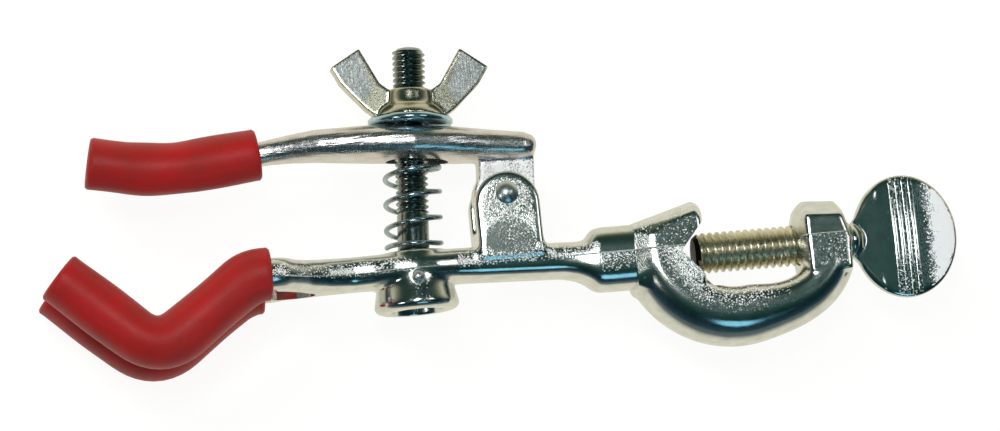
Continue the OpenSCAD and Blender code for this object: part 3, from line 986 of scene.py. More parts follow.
@dataclass
class LowerJaw:
    """The cast lower jaw: neck, ears, bolt boss, arm and two V fingers."""

    places: Places
    arm_h: float = 6.5
    arm_up: float = 5.4
    arm_boxy: float = 0.66
    neck_len: float = 5.8
    ear_r: float = 6.3
    ear_up: float = 4.3
    ear_depth: float = 13.0
    ear_slot: float = 6.6
    ear_foot: float = 7.7
    pad_r: float = 4.9
    pad_proud: float = 0.12
    bore_r: float = 4.95
    boss_r: float = 8.3
    boss_h: float = 11.4
    pin_r: float = 1.2
    pin_half: float = 7.8
    finger_r: float = 3.1
    splay: float = 9.7
    fork: float = 24.0
    hump_len: float = 6.0
    fall_len: float = 22.8
    fall_deg: float = 35.5
    rise_len: float = 24.1
    rise_deg: float = 42.2
    skin_mm: float = 0.3
    skin_passes: int = 12

    @property
    def top(self) -> float:
        """The top of the arm."""
        return self.places.foot.y + self.arm_up

    @property
    def middle(self) -> float:
        """The middle of the arm's height."""
        return self.top - self.arm_h / 2

    @property
    def fork_x(self) -> float:
        """Where the arm parts into the fingers."""
        return self.places.foot.x - self.fork

    @property
    def flare_x(self) -> float:
        """Where the neck reaches its full size."""
        return self.places.neck_x - self.neck_len

    def knuckles(self) -> tuple[Vector, ...]:
        """The corners of the front finger's line.

        Returns:
            Its root, shoulder, hump, valley and end.
        """
        shoulder = Vector((self.fork_x - 2.2, self.middle + 0.3, self.splay))
        hump = shoulder - Vector((self.hump_len, 0, 0))
        a, b = math.radians(self.fall_deg), math.radians(self.rise_deg)
        valley = hump + Vector((-math.cos(a), -math.sin(a), 0)) * self.fall_len
        end = valley + Vector((-math.cos(b), math.sin(b), 0)) * self.rise_len
        return Vector((self.fork_x + 3, self.middle, 0)), shoulder, hump, valley, end

    def finger(self, way: int, inside: bool) -> BMesh:
        """One finger.

        Args:
            way: 1 for the front finger, -1 for the rear one.
            inside: Whether it is the part inside the sleeve, or the root at the fork.

        Returns:
            The closed shape.
        """
        root, shoulder, hump, valley, end = self.knuckles()
        if inside:
            tip = end + (valley - end).normalized() * 3
            line = route([shoulder - Vector((2.5, 0, 0)), hump, valley, tip], [3, 6.5])
        else:
            line = route([root, shoulder, hump + Vector((2.4, 0, 0))], [2.2])
        line = [Vector((p.x, p.y, way * p.z)) for p in line]
        return tube(line, self.finger_r - (0.05 if inside else 0))

    def arm(self) -> BMesh:
        """The arm from the fork to the neck, swept through its sections.

        Returns:
            The closed shape.
        """
        foot_x, fork_x, middle, flare = self.places.foot.x, self.fork_x, self.middle, self.flare_x
        # place along the arm, height, half height and half depth
        run = [(fork_x - 3.6, middle + 0.2, 3.1, 12.8), (fork_x - 1.2, middle + 0.2, 3.2, 12.2),
               (fork_x + 1, middle + 0.1, 3.25, 10.6), (fork_x + 3.5, middle, 3.25, 8.4),
               (fork_x + 7, middle, 3.25, 6.4), (foot_x - 12, middle, 3.25, 5.2),
               (foot_x - 8, middle, 3.25, 5.8), (foot_x - 4, middle, 3.25, 7.2),
               (foot_x, middle, 3.25, 7.5), (foot_x + 4, middle, 3.25, 7.2),
               (foot_x + 8, middle, 3.25, 6.3), (foot_x + 12, middle - 0.1, 3.3, 5.8),
               (flare - 8, 0.9, 3.4, 5.7), (flare - 5.5, 0.55, 3.6, 5.8),
               (flare - 4.3, 0.3, 3.9, 5.9), (flare - 3.4, 0.15, 4.3, 6.0),
               (flare - 2.7, 0.2, 4.9, 6.1), (flare - 2.1, 0.35, 5.6, 6.2),
               (flare - 1.4, 0.4, 6.05, 6.3), (flare, 0.4, 6.2, 6.3),
               (self.places.neck_x + 2, 0.4, 6.2, 6.3)]
        return sweep([Station(Vector((x, y, 0)), Vector((1, 0, 0)), up, out, self.arm_boxy)
                      for x, y, up, out in run], 40)

    def boss(self) -> BMesh:
        """The round boss for the bolt, flared towards its foot.

        Returns:
            The closed shape.
        """
        low, r = self.top - self.boss_h, self.boss_r
        shape = lathe([(0, low), (r - 0.9, low), (r, low + 0.9), (r - 0.2, low + 2),
                       (r - 0.8, self.top - 6.8), (r - 1.0, self.top - 3), (r - 1.5, self.top),
                       (0, self.top)])
        return placed(shape, Matrix.Translation((self.places.foot.x, 0, 0)))

    def ears(self) -> list[BMesh]:
        """The clevis ears, the block between their feet and the fillets beside them.

        Returns:
            The overlapping closed shapes.
        """
        x, r, top = self.places.hinge.x, self.ear_r, self.top
        half, slot = self.ear_depth / 2, self.ear_slot / 2
        arch = arc(x, self.places.hinge.y + self.ear_up - r, r, 0, 180)
        shapes = [prism(arch + [(x - r, top - 3), (x + r, top - 3)], low, high)
                  for low, high in ((slot, half), (-half, -slot))]
        shapes.append(prism([(x - r, top - 3), (x + r, top - 3), (x + r, self.ear_foot),
                             (x - r, self.ear_foot)], -half, half))
        for way in (-1, 1):
            edge = x + way * (r - 0.4)
            shapes.append(prism([(edge, top - 4), (edge, top + 0.4), (edge + way * 0.9, top - 0.8),
                                 (edge + way * 1.9, top - 1.6), (edge + way * 1.9, top - 4)],
                                -half + 0.6, half - 0.6))
        return shapes

    def pads(self) -> list[BMesh]:
        """The low arched pad on the foot of each ear.

        Returns:
            The two closed shapes.
        """
        outline = arc(self.places.hinge.x - 0.2, self.top - 0.3, self.pad_r, -30, 210, 10)
        near, far = self.ear_depth / 2 - 0.9, self.ear_depth / 2 + self.pad_proud
        return [prism(outline, *sorted((way * near, way * far))) for way in (1, -1)]

    def cuts(self) -> list[BMesh]:
        """The tools that open the fork, bore the boss and drill it for the cross pin.

        Returns:
            The closed tools.
        """
        fork_x, foot, low = self.fork_x, self.places.foot, self.top - self.boss_h
        upright = Matrix.Rotation(math.pi / 2, 4, "X")
        crotch = prism([(fork_x - 9, -6.3), (fork_x - 2, -6.3), (fork_x + 1.5, -4.6),
                        (fork_x + 4.2, -1.8), (fork_x + 4.8, 0), (fork_x + 4.2, 1.8),
                        (fork_x + 1.5, 4.6), (fork_x - 2, 6.3), (fork_x - 9, 6.3)], -9, 9)
        bore = lathe([(0, low - 1), (self.bore_r + 0.8, low - 1), (self.bore_r, low + 0.4),
                      (self.bore_r, self.top + 1), (0, self.top + 1)], 72)
        snug = self.pin_r + 0.05
        drill = lathe([(0, -9), (2.9, -9), (snug, -7.2), (snug, 7.2), (2.9, 9), (0, 9)], 32)
        return [placed(crotch, upright), placed(bore, Matrix.Translation((foot.x, 0, 0))),
                placed(drill, Matrix.Translation(foot) @ upright)]

    def sandy(self, co: Vector, normal: Vector) -> float:
        """How sandy the jaw is, and where glints are painted: most on the ears and along the arm's
        middle, on faces that look up.

        Args:
            co: A place on the skin.
            normal: Its normal.

        Returns:
            The sandiness, from 0 to 1.
        """
        foot, hinge, top, middle = self.places.foot, self.places.hinge, self.top, self.middle
        # painted glint: flecks gather on faces that look up at the flash
        front = normal.z ** 2
        if co.y > top and abs(co.x - hinge.x) < 9:
            rim = math.hypot(co.x - hinge.x, max(0, co.y - hinge.y + 2))
            return front * (0.8 if co.y < hinge.y - 4.6 else 0.55) * ease((5.6 - rim) / 1.1)
        if co.x > self.flare_x - 1:
            return (0.55 if -2.6 < co.y < 1 else 0.06) * front
        if foot.x - 1 < co.x < foot.x + 8:
            return 0.3 * front if co.y < foot.y - 1 and co.x < foot.x + 2 else 0.08
        high = top if abs(co.x - hinge.x) < 9 else middle + 2.2
        return 0.95 * front * ease(high - co.y) * ease((co.y - middle + 1.4) / 1.2)

    def pin(self) -> BMesh:
        """The cross pin that the bolt swings on, with domed ends.

        Returns:
            The closed shape.
        """
        r, end = self.pin_r, self.pin_half
        dome = [(r, end - 0.75), (r - 0.2, end - 0.35), (r - 0.6, end - 0.1), (0, end)]
        shape = lathe([(x, -y) for x, y in reversed(dome)] + dome, 32)
        return placed(shape, Matrix.Translation(self.places.foot)
                      @ Matrix.Rotation(math.pi / 2, 4, "X"))

    def build(self, finishes: Finishes) -> None:
        """Builds and dresses the casting and its cross pin.

        Args:
            finishes: The clamp's finishes.
        """
        roots, fingers = ([self.finger(way, inside) for way in (1, -1)] for inside in (False, True))
        skin = moulded([self.arm(), self.boss()] + self.ears() + roots,
                       self.skin_mm, self.skin_passes)
        skin = joined(trimmed(skin, self.places.neck_x, 1), self.cuts(), Join.CUT)
        skin = joined(skin, fingers + self.pads(), Join.ADD)
        finished(skin, "lower_jaw_casting", "lower_jaw", [finishes.cast],
                 ["lower_jaw"], self.sandy, 45)
        finished(self.pin(), "bolt_pin_riveted", "lower_jaw", [finishes.pin],
                 ["bolt_pin"])


# ---------------------------------------------------------------- upper jaw

@dataclass
class UpperJaw:
    """The forged upper jaw, in its own frame: hinge pin at the origin, bolt along Y."""

    places: Places
    seat: float = 13.95
    bar_t: float = 6.9
    bar_boxy: float = 0.8
    bolt_arm: float = 17.6
    slot_r: float = 3.475
    slot_back: float = 1.5
    slot_front: float = 3.7
    hole_r: float = 1.65
    lug_r: float = 5.9
    lug_back: float = 4.8
    lug_t: float = 6.0
    finger_r: float = 2.35
    skin_mm: float = 0.28
    skin_passes: int = 4

    @property
    def mid(self) -> float:
        """The middle of the bar's height at the bolt."""
        return self.seat - self.bar_t / 2

    def corners(self) -> tuple[Vector, Vector, Vector]:
        """Start, knee and end of the sleeve's line."""
        return (Vector((-47.2, self.mid - 1.7, 0)), Vector((-66.5, self.mid - 4.9, 0)),
                Vector((-80.0, self.mid - 3.1, 0)))

    def bar(self) -> BMesh:
        """The bar from the lug's end to the finger, swept through its sections.

        Returns:
            The closed shape.
        """
        mid = self.mid
        # place along the bar, height, half height and half depth
        run = [(6.45, mid - 0.95, 0.9, 2.8), (6.2, mid - 0.9, 1.7, 4.0), (5.5, mid - 0.88, 2.4, 4.7),
               (3.9, mid - 0.75, 2.85, 5.2), (-2.9, mid - 0.5, 3.1, 5.6),
               (-11, mid - 0.15, 3.45, 6.9), (-17.6, mid, 3.48, 7.5), (-26.9, mid + 0.05, 3.45, 6.5),
               (-36.2, mid - 0.2, 3.05, 5), (-41, mid - 0.72, 2.68, 3.75),
               (-45, mid - 1.35, 2.4, 2.9), (-48.5, mid - 2.0, 2.3, 2.4)]
        line = [Vector((x, y, 0)) for x, y, _, _ in run]
        return sweep([Station(p, heading(line, i), run[i][2], run[i][3], self.bar_boxy)
                      for i, p in enumerate(line)], 40)

    def finger(self) -> BMesh:
        """The round finger that the sleeve is drawn over.

        Returns:
            The closed shape.
        """
        start, knee, end = self.corners()
        return tube(route([start + (start - knee).normalized() * 6, knee,
                           end + (knee - end).normalized() * 3], [7]), self.finger_r)

    def lug(self) -> list[BMesh]:
        """The hinge lug and the web that joins it to the bar.

        Returns:
            The overlapping closed shapes.
        """
        half = self.lug_t / 2
        web = prism([(-self.lug_back, -1), (self.lug_r, 0), (self.lug_r, self.mid),
                     (-self.lug_back, self.mid)], -half, half)
        return [web, prism(arc(0, 0, self.lug_r, 180, 528), -half, half)]

    def cuts(self) -> list[BMesh]:
        """The tools that cut the bolt's slot and the hinge pin's hole.

        Returns:
            The closed tools.
        """
        upright = Matrix.Rotation(math.pi / 2, 4, "X")
        back, front = self.slot_r + self.slot_back, self.slot_r + self.slot_front
        rounds = [point for x, low in ((front - self.slot_r, -90), (self.slot_r - back, 90))
                  for point in arc(x - self.bolt_arm, 0, self.slot_r, low, low + 180, 15)]
        slot = prism(rounds, -self.seat - 2, 2 - self.seat + self.bar_t)
        hole = lathe([(0, -4), (self.hole_r, -4), (self.hole_r, 4), (0, 4)], 32)
        return [placed(slot, upright), placed(hole, upright)]

    def build(self, finishes: Finishes) -> None:
        """Builds and dresses the jaw.

        Args:
            finishes: The clamp's finishes.
        """
        skin = moulded([self.bar(), self.finger()] + self.lug(), self.skin_mm, self.skin_passes)
        skin = joined(skin, self.cuts(), Join.CUT)
        finished(self.places.in_jaw(skin), "upper_jaw_forging", "upper_jaw",
                 [finishes.forged], ["upper_jaw"], self.sandy, 45)

    def sandy(self, co: Vector, normal: Vector) -> float:
        """How sandy the jaw is: only its lug is, with dense painted glints on its up-facing faces.

        Args:
            co: A place on the skin.
            normal: Its normal.

        Returns:
            The sandiness; past 1 it is as dense as it can be.
        """
        low = self.places.hinge.y + self.seat - self.bar_t - 0.4
        # painted glint: the lug's up-facing faces turn almost white with flecks
        return 1.2 * normal.z ** 2 if co.y < low and co.x > self.places.hinge.x - 7 else 0.0


# ---------------------------------------------------------------- swing bolt

@dataclass
class SwingBolt:
    """The swing bolt with its washer, wing nut and spring, along the bolt."""

    places: Places
    radius: float = 3.175
    pitch: float = 1.1
    length: float = 45.6
    thread_from: float = 13.3
    washer_low: float = 30.3
    washer_t: float = 1.5
    washer_r: float = 8.2
    nut_h: float = 5.5
    span: float = 30.6
    wing_h: float = 13.4
    wing_t: float = 3.6
    flat_deep: float = 0.18
    washer_hole_r: float = 3.475
    wire_r: float = 0.5
    coil_r: float = 5.25
    coil_aside: float = 0.1
    coil_low: float = 6.45
    coil_high: float = 22.35
    closed_turns: float = 0.4
    open_turns: float = 3.0
    coil_steps: int = 40
    stretch_from: float = 7.2
    stretch_to: float = 21.6

    def bolt(self) -> BMesh:
        """The bolt: a plain foot, a rolled thread and a domed tip.

        Returns:
            The closed shape.
        """
        r, start, end = self.radius, self.thread_from, self.length
        thread = threaded(r, 0.62, self.pitch, start, end - 0.9)
        shank = lathe([(0, -r), (r * 0.6, -r), (r - 0.12, -r + 0.5), (r - 0.12, start - 0.8),
                       (r - 0.5, start + 0.4), (0, start + 0.4)], 48)
        dome = lathe([(0, end - 1.4), (r - 0.35, end - 1.4), (r - 0.45, end - 0.85),
                      (r * 0.72, end - 0.35), (r * 0.42, end - 0.08), (0, end)], 48)
        return joined(thread, [shank, dome], Join.ADD)

    def wire(self) -> BMesh:
        """The open-coil spring with its closed ends.

        Returns:
            The closed shape.
        """
        closed, steps, lift = self.closed_turns, self.coil_steps, 2 * self.wire_r * 1.05
        climb = self.coil_high - self.coil_low - 2 * closed * lift
        line = []
        for i in range(int((self.open_turns + 2 * closed) * steps) + 1):
            turn = i / steps
            share = min(1.0, max(0.0, (turn - closed) / self.open_turns))
            flat = min(turn, closed) + max(0.0, turn - closed - self.open_turns)
            a = math.pi * (2 * turn + 1)
            line.append(Vector((self.coil_r * math.cos(a) + self.coil_aside,
                                self.coil_low + lift * flat + climb * share,
                                -self.coil_r * math.sin(a))))
        return tube(line, self.wire_r, 12)

    def nut(self) -> BMesh:
        """The wing nut: a coned hub, a flared foot and two upswept wings.

        Returns:
            The closed shape, with the wings' flats as material 1.
        """
        foot_r, top_r = self.radius + 3.3, self.radius + 1.1
        hub = lathe([(0, 0), (foot_r, 0), (foot_r, 0.5), (foot_r - 0.35, 1.2), (foot_r - 1.1, 1.9),
                     (foot_r - 1.9, 2.4), (top_r + 0.15, 3.1), (top_r, self.nut_h - 0.3),
                     (top_r - 0.4, self.nut_h), (0, self.nut_h)])
        half = self.span / 2
        wing = [(3.0, self.nut_h - 1.8), (top_r, self.nut_h - 0.1), (5.9, 6.6),
                (half - 5.51, self.wing_h), (half, self.wing_h - 3.7), (half - 1.9, self.wing_h - 7),
                (8.775, 1.6), (6.975, 0.25), (3.0, 0.25)]
        rim, panel = self.wing_t / 2, self.wing_t / 2 - self.flat_deep
        plates = [prism([(way * x, y) for x, y in wing], -rim, rim) for way in (1, -1)]
        skin = moulded([hub] + plates, 0.22, 4)
        inner = [(7.3, 6.1), (half - 5.1, self.wing_h - 0.7), (half - 0.75, self.wing_h - 3.85),
                 (half - 2.4, self.wing_h - 6.7), (9.0, 2.5)]
        flats = [prism([(way * x, y) for x, y in inner], low, high) for way in (1, -1)
                 for low, high in ((panel, rim + 1), (-rim - 1, -panel))]
        bore = lathe([(0, -1), (self.radius - 0.1, -1), (self.radius - 0.1, 7), (0, 7)], 48)
        skin = joined(skin, flats + [bore], Join.CUT)
        skin.normal_update()
        for face in skin.faces:
            if abs(face.normal.z) > 0.99 and abs(abs(face.calc_center_median().z) - panel) < 0.02:
                face.material_index = 1
        return skin

    def build(self, finishes: Finishes) -> None:
        """Builds and dresses the bolt, washer, nut and spring.

        Args:
            finishes: The clamp's finishes.
        """
        place = self.places.on_bolt
        finished(place(self.bolt()), "swing_bolt_rolled", "swing_bolt",
                 [finishes.bolt], ["swing_bolt"], None, 30)
        low, high, r = self.washer_low, self.washer_low + self.washer_t, self.washer_r
        disc = lathe([(self.washer_hole_r, low), (r - 0.3, low), (r, low + 0.35), (r, high - 0.5),
                      (r - 0.5, high), (self.washer_hole_r, high)], 80, True)
        finished(place(disc), "washer_disc", "washer", [finishes.zinc], ["washer"],
                 None, 50)
        nut = placed(self.nut(), Matrix.Translation((0, high, 0)))
        finished(place(nut), "wing_nut_cast", "wing_nut",
                 [finishes.nickel, finishes.blasted], ["wing_nut"], None, 35)
        coil = finished(place(self.wire()), "spring_wire", None,
                        [finishes.spring], ["spring"], None, 60)
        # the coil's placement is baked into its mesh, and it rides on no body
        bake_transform(coil)


# ---------------------------------------------------------------- clamp screw

@dataclass
class ClampScrew:
    """The clamp screw and its ribbed thumb head, along X."""

    places: Places
    radius: float = 3.97
    pitch: float = 1.411
    hub_gap: float = 0.15
    head_len: float = 21.2
    paddle_w: float = 20.6
    paddle_h: float = 24.0
    paddle_t: float = 2.6
    ribs: int = 4
    rib_pitch: float = 1.3
    rib_w: float = 0.7
    rib_proud: float = 0.45
    rib_share: float = 0.465
    bevel: float = 0.16
    spigot_r: float = 2.15
    turned_len: float = 0.75

    @property
    def hub_x(self) -> float:
        """The end of the thumb head's hub."""
        return self.places.head_end + self.hub_gap

    @property
    def mid_x(self) -> float:
        """The middle of the paddle."""
        return self.hub_x + self.head_len - self.paddle_w / 2

    def screw(self, length: float) -> BMesh:
        """The screw from its chamfered tip to the thumb head.

        Args:
            length: Its length, without the spigot.

        Returns:
            The closed shape, along Y.
        """
        rod = threaded(self.radius, 0.68, self.pitch, 0.0, length, 48)
        for vert in rod.verts:
            limit = self.radius - 0.9 + 0.8 * vert.co.y
            far = math.hypot(vert.co.x, vert.co.z)
            if far > limit:
                vert.co.x *= limit / far
                vert.co.z *= limit / far
        spigot = lathe([(0, length - 1), (self.spigot_r, length - 1), (self.spigot_r, length + 2),
                        (0, length + 2)], 32)
        return joined(rod, [spigot], Join.ADD)

    def head(self) -> BMesh:
        """The thumb head: hub, crowned paddle and ribs.

        Returns:
            The closed shape.
        """
        hub_x, mid_x, half = self.hub_x, self.mid_x, self.paddle_t / 2
        paddle = lathe([(0, -half - 0.15), (0.55, -half - 0.1), (0.93, -half + 0.12), (1, -half + 0.5),
                        (1, half - 0.5), (0.93, half - 0.12), (0.55, half + 0.1), (0, half + 0.15)], 96)
        oval = Matrix.Diagonal((self.paddle_w / 2, self.paddle_h / 2, 1, 1))
        placed(paddle, Matrix.Translation((mid_x, 0, 0)) @ oval
               @ Matrix.Rotation(math.pi / 2, 4, "X"))
        hub = along_x(lathe([(0, 0), (3.2, 0), (3.45, 0.4), (3.2, 1.1), (2.3, 2.0), (half, 2.8),
                             (0, 2.8)], 48), hub_x)
        web = prism([(hub_x + 0.5, -3.4), (mid_x - 5.2, -10.1), (mid_x - 5.2, 10.1),
                     (hub_x + 0.5, 3.4)], -half, half)
        skin = moulded([paddle, hub, web], 0.22, 6)
        tall, wide, length = half + self.rib_proud, self.rib_w / 2, self.rib_share * self.paddle_h
        ribs = []
        for k in range(self.ribs):
            x = mid_x + (k - (self.ribs - 1) / 2) * self.rib_pitch
            rib = prism([(x - wide, -length), (x + wide, -length), (x + wide, length),
                         (x - wide, length)], -tall, tall)
            level = [e for e in rib.edges if abs(e.verts[0].co.z - e.verts[1].co.z) < 0.1]
            bmesh.ops.bevel(rib, geom=level, offset=self.bevel, offset_type="OFFSET", segments=2,
                            profile=0.5, affect="EDGES", material=-1)
            ribs.append(rib)
        snug = self.spigot_r + 0.05
        bore = along_x(lathe([(0, -1), (snug, -1), (snug, 2.4), (0, 2.4)], 32), hub_x)
        return joined(joined(skin, ribs, Join.ADD), [bore], Join.CUT)

    def build(self, finishes: Finishes) -> None:
        """Builds and dresses the screw and its head.

        Args:
            finishes: The clamp's finishes.
        """
        tip_x = self.places.tip_x
        screw = along_x(self.screw(self.hub_x - tip_x), tip_x)
        screw.normal_update()
        # the tip faces take the near-black painted dark reflection
        for face in screw.faces:
            if face.calc_center_median().x < tip_x + self.turned_len:
                face.material_index = 1
        finished(screw, "clamp_screw_rolled", "clamp_screw",
                 [finishes.screw, finishes.turned], ["clamp_screw"], None, 30)
        finished(self.head(), "thumb_head_pressed", "thumb_head",
                 [finishes.thumb], ["thumb_head"], self.sandy, 35)

    def sandy(self, co: Vector, normal: Vector) -> float:
        """How sandy the head is, and where glints are painted: on the ribs, and more towards the
        paddle's edge.

        Args:
            co: A place on the skin.
            normal: Its normal, which makes no difference here.

        Returns:
            The sandiness; past 1 it is as dense as it can be.
        """
        band = (self.ribs / 2 - 0.5) * self.rib_pitch
        if abs(co.x - self.mid_x) < band + 0.5:
            return 0.2
        rim = math.hypot((co.x - self.mid_x) / self.paddle_w, co.y / self.paddle_h) * 2
        # painted glint: white flecks crowd towards the paddle's far side
        return 2.0 * ease((co.x - self.mid_x - band - 1.3) / 4.5) * (rim < 0.95)


# ---------------------------------------------------------------- sleeves

@dataclass
class Sleeves:
    """The three rubber sleeves, cut from tube and drawn over the fingers."""

    places: Places
    lower: LowerJaw
    upper: UpperJaw
    lower_r: float = 5.2
    upper_r: float = 5.1
    gap: float = 0.35
    lip: float = 0.5
    wobble: float = 0.1
    spacing: float = 1.2

    def drawn(self, line: Sequence[Vector], outer: float, inner: float) -> BMesh:
        """A hollow tube along a line, with softly cut ends.

        Args:
            line: The tube's own line.
            outer: Its outer radius.
            inner: Its bore's radius.

        Returns:
            The closed shape.
        """
        last = len(line) - 1
        ways = [heading(line, i) for i in range(last + 1)]

        def end(i: int, sign: int, radius: float, push: float) -> Station:
            """One ring of a cut end."""
            return Station(line[i] + ways[i] * sign * push, ways[i], radius, radius)

        wall = []
        for i, p in enumerate(line):
            sag = self.wobble * math.sin(0.37 * i + outer)
            wall.append(Station(p, ways[i], outer + sag - 0.06, outer - sag - 0.06))
        mid = (outer + inner) / 2
        wall[0] = end(0, 1, outer - 0.1, self.lip)
        wall[-1] = end(last, -1, outer - 0.1, self.lip)
        near = [end(0, 1, inner + 0.25, 0.1), end(0, 1, mid, 0.0), end(0, 1, outer - 0.45, 0.08)]
        far = [end(last, -1, outer - 0.45, 0.08), end(last, -1, mid, 0.0),
               end(last, -1, inner + 0.25, 0.1)]
        bore = [Station(p, ways[i], inner, inner) for i, p in enumerate(line)]
        bore[0], bore[-1] = end(0, 1, inner, 0.5), end(last, -1, inner, 0.5)
        return sweep(near + wall + far + bore[::-1], 40, False)

    def build(self, finishes: Finishes) -> None:
        """Builds and dresses the sleeves.

        Args:
            finishes: The clamp's finishes.
        """
        start, knee, end = self.upper.corners()
        line = route([start, knee, end], [7], spacing=self.spacing)
        tube_up = self.places.in_jaw(self.drawn(line, self.upper_r, self.upper.finger_r + self.gap))
        finished(tube_up, "upper_sleeve_rubber", "upper_jaw", [finishes.rubber],
                 ["upper_sleeve"], None, 60)
        _, shoulder, hump, valley, tip = self.lower.knuckles()
        line = route([shoulder - Vector((2.2, 0, 0)), hump, valley, tip], [3, 6.5], spacing=self.spacing)
        for way, side in ((1, "front"), (-1, "rear")):
            turned = [Vector((p.x, p.y, way * p.z)) for p in line]
            shape = self.drawn(turned, self.lower_r, self.lower.finger_r + self.gap)
            finished(shape, f"lower_sleeve_{side}_rubber", "lower_jaw",
                     [finishes.rubber], [f"lower_sleeve_{side}"], None, 60)


# ---------------------------------------------------------------- studio

@dataclass(frozen=True)
class Lamp:
    """A soft round light: place and width in metres, power in watts."""

    name: str
    at: tuple[float, float, float]
    width: float
    power: float
    mirrored: bool = True
    colour: str = "#FFFFFF"


# what the metal mirrors from the horizon, at 0, to straight above, at 1
BACK_SKY = ((0.0, "#E4DECA"), (0.16, "#DCD6BE"), (0.34, "#8D8F78"), (0.55, "#34463E"),
            (0.8, "#173430"), (1.0, "#1F4642"))
FRONT_SKY = ((0.0, "#28454E"), (0.1, "#1E3C48"), (0.45, "#0B242C"), (0.8, "#0C2A2B"),
             (1.0, "#1F4642"))

LAMPS = (
    Lamp("flash", (-0.18, 0.15, 1.0), 0.26, 2.3),
    Lamp("wall", (0.48, 0.13, 0.87), 0.26, 0.45),
    Lamp("side", (-0.75, -0.23, 0.66), 0.25, 0.6),
    Lamp("window", (0.1, -0.8, 0.62), 0.42, 0.75, colour="#7CBCD6"),
    Lamp("key", (-0.7, 0.8, 1.3), 0.8, 13.0, mirrored=False),
    Lamp("fill", (0.8, -0.6, 1.1), 0.9, 5.0, mirrored=False),
)


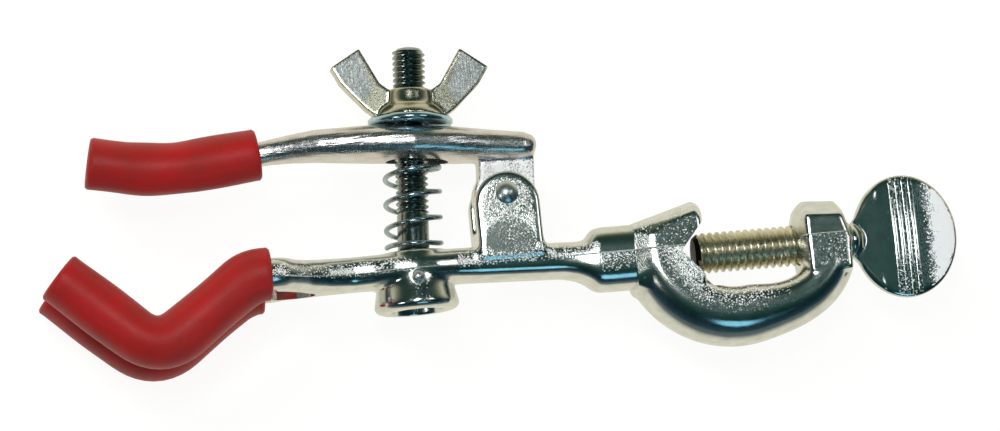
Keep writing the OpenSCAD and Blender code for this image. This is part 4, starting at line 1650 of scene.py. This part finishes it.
@dataclass
class Studio:
    """Floor, light and camera."""

    look: tuple[float, float, float] = (-41.24, 10.73, 0.0)
    distance: float = 1000.0
    tilt: float = math.tan(math.radians(8))
    roll: float = math.radians(4.8)
    lens: float = 186.5
    floor_half: float = 3.0
    floor_drop: float = 0.0003
    # where the floor's painted reflection turns from pale to dark, in metres along Y
    pale_reflection_end: float = -0.038
    dark_reflection_from: float = -0.075

    def camera(self) -> None:
        """Sets the camera over the clamp, a little to its left and nearer its lower side."""
        away = Vector((-self.tilt, -self.tilt, 1)).normalized()
        level = Vector((math.cos(self.roll), -math.sin(self.roll), 0))
        right = (level - away * level.dot(away)).normalized()
        rise = away.cross(right)
        turn = Matrix((right, rise, away)).transposed().to_4x4()
        lens = bpy.data.cameras.new("camera")
        lens.lens, lens.sensor_width, lens.clip_start = self.lens, 36.0, 0.01
        holder = linked("camera", lens)
        holder.matrix_world = Matrix.Translation((Vector(self.look) + away * self.distance) * MM) @ turn
        bpy.context.scene.camera = holder

    def shine(self, lamp: Lamp) -> None:
        """Sets up a lamp so that it faces the clamp.

        Args:
            lamp: The lamp.
        """
        light = bpy.data.lights.new(lamp.name, "AREA")
        light.size, light.energy, light.shape = lamp.width, lamp.power, "DISK"
        light.color = linear(lamp.colour)[:3]
        holder = linked(lamp.name, light)
        at = Vector(lamp.at)
        aim = (Vector(self.look) * MM - at).to_track_quat("-Z", "Y")
        holder.matrix_world = Matrix.Translation(at) @ aim.to_matrix().to_4x4()
        holder.visible_glossy = lamp.mirrored
        holder.visible_camera = False

    def floor(self) -> None:
        """A pale floor under the clamp: it glows an even white to the camera, and shows the metal a
        painted reflection.
        """
        bm = bmesh.new()
        bmesh.ops.create_grid(bm, x_segments=1, y_segments=1, size=self.floor_half)
        bmesh.ops.translate(bm, verts=bm.verts, vec=(0, 0, CAD_BOUNDS[0][2] - self.floor_drop))
        mesh = bpy.data.meshes.new("floor")
        bm.to_mesh(mesh)
        bm.free()
        material = bpy.data.materials.new("glowing_floor_painted_reflection")
        material.use_nodes = True
        tree = material.node_tree
        tree.nodes.clear()
        glossy = add_node(tree, "ShaderNodeLightPath").outputs["Is Glossy Ray"]
        place = add_node(tree, "ShaderNodeTexCoord").outputs["Object"]
        y = add_node(tree, "ShaderNodeSeparateXYZ", {0: place}).outputs["Y"]
        # painted reflection: glossy rays see a pale band that turns dark in front of the clamp, where
        # the camera sees plain white
        past = add_node(tree, "ShaderNodeMapRange",
                        {"Value": y, "From Min": self.pale_reflection_end, "From Max": self.dark_reflection_from})
        mirrored = add_node(tree, "ShaderNodeMix",
                            {0: past, 6: linear("#E4DECB"), 7: linear("#1C3A42")},
                            data_type="RGBA").outputs[2]
        shine = add_node(tree, "ShaderNodeMix", {0: glossy, 6: linear("#FFFFFE"), 7: mirrored},
                         data_type="RGBA").outputs[2]
        # the floor glows: white to the camera and to diffuse light, the painted reflection to glossy
        # rays
        glow = add_node(tree, "ShaderNodeEmission", {"Color": shine, "Strength": 1.07})
        matt = add_node(tree, "ShaderNodeBsdfDiffuse", {"Color": linear("#F2F2F0")})
        both = add_node(tree, "ShaderNodeMixShader", {0: 0.14, 1: glow, 2: matt})
        add_node(tree, "ShaderNodeOutputMaterial", {"Surface": both})
        mesh.materials.append(material)
        floor = linked("floor", mesh)

    def room(self) -> None:
        """The room that the metal mirrors: pale low behind the clamp, dark above and in front."""
        world = bpy.data.worlds.new("room")
        bpy.context.scene.world = world
        world.use_nodes = True
        tree = world.node_tree
        tree.nodes.clear()
        way = add_node(tree, "ShaderNodeTexCoord").outputs["Generated"]
        split = add_node(tree, "ShaderNodeSeparateXYZ", {0: way}).outputs
        rise = add_node(tree, "ShaderNodeMapRange", {"Value": split["Z"]})
        skies = []
        for stops in (BACK_SKY, FRONT_SKY):
            sky = add_node(tree, "ShaderNodeValToRGB", {"Fac": rise})
            bar = sky.color_ramp.elements
            while len(bar) < len(stops):
                bar.new(0.5)
            for element, (place, colour) in zip(bar, stops):
                element.position = place
                element.color = linear(colour)
            skies.append(sky)
        side = add_node(tree, "ShaderNodeMapRange",
                        {"Value": split["Y"], "From Min": 0.05, "From Max": 0.5})
        sky = add_node(tree, "ShaderNodeMix", {0: side, 6: skies[1], 7: skies[0]},
                       data_type="RGBA").outputs[2]
        seen = add_node(tree, "ShaderNodeLightPath").outputs["Is Camera Ray"]
        shown = add_node(tree, "ShaderNodeMix", {0: seen, 6: sky, 7: linear("#F4F4F3")},
                         data_type="RGBA").outputs[2]
        light = add_node(tree, "ShaderNodeBackground", {"Color": shown, "Strength": 1.0})
        add_node(tree, "ShaderNodeOutputWorld", {"Surface": light})

    def build(self) -> None:
        """Sets up floor, room, lights and camera."""
        self.camera()
        self.floor()
        self.room()
        for lamp in LAMPS:
            self.shine(lamp)
        bpy.context.scene.view_settings.view_transform = "Standard"


def main() -> None:
    """Builds the clamp's pieces in order."""
    logging.basicConfig(level=logging.INFO, format="%(message)s")
    places = Places.read()
    finishes = Finishes()
    Studio().build()
    lower, upper = LowerJaw(places), UpperJaw(places)
    lower.build(finishes)
    BossHead(places).build(finishes)
    upper.build(finishes)
    SwingBolt(places).build(finishes)
    ClampScrew(places).build(finishes)
    Sleeves(places, lower, upper).build(finishes)
    mesh = frame["nodes"]["hinge_pin"].data
    mesh.materials.clear()
    mesh.materials.append(finishes.pin)
    log.info("hinge_pin: dressed")


if __name__ == "__main__":
    main()
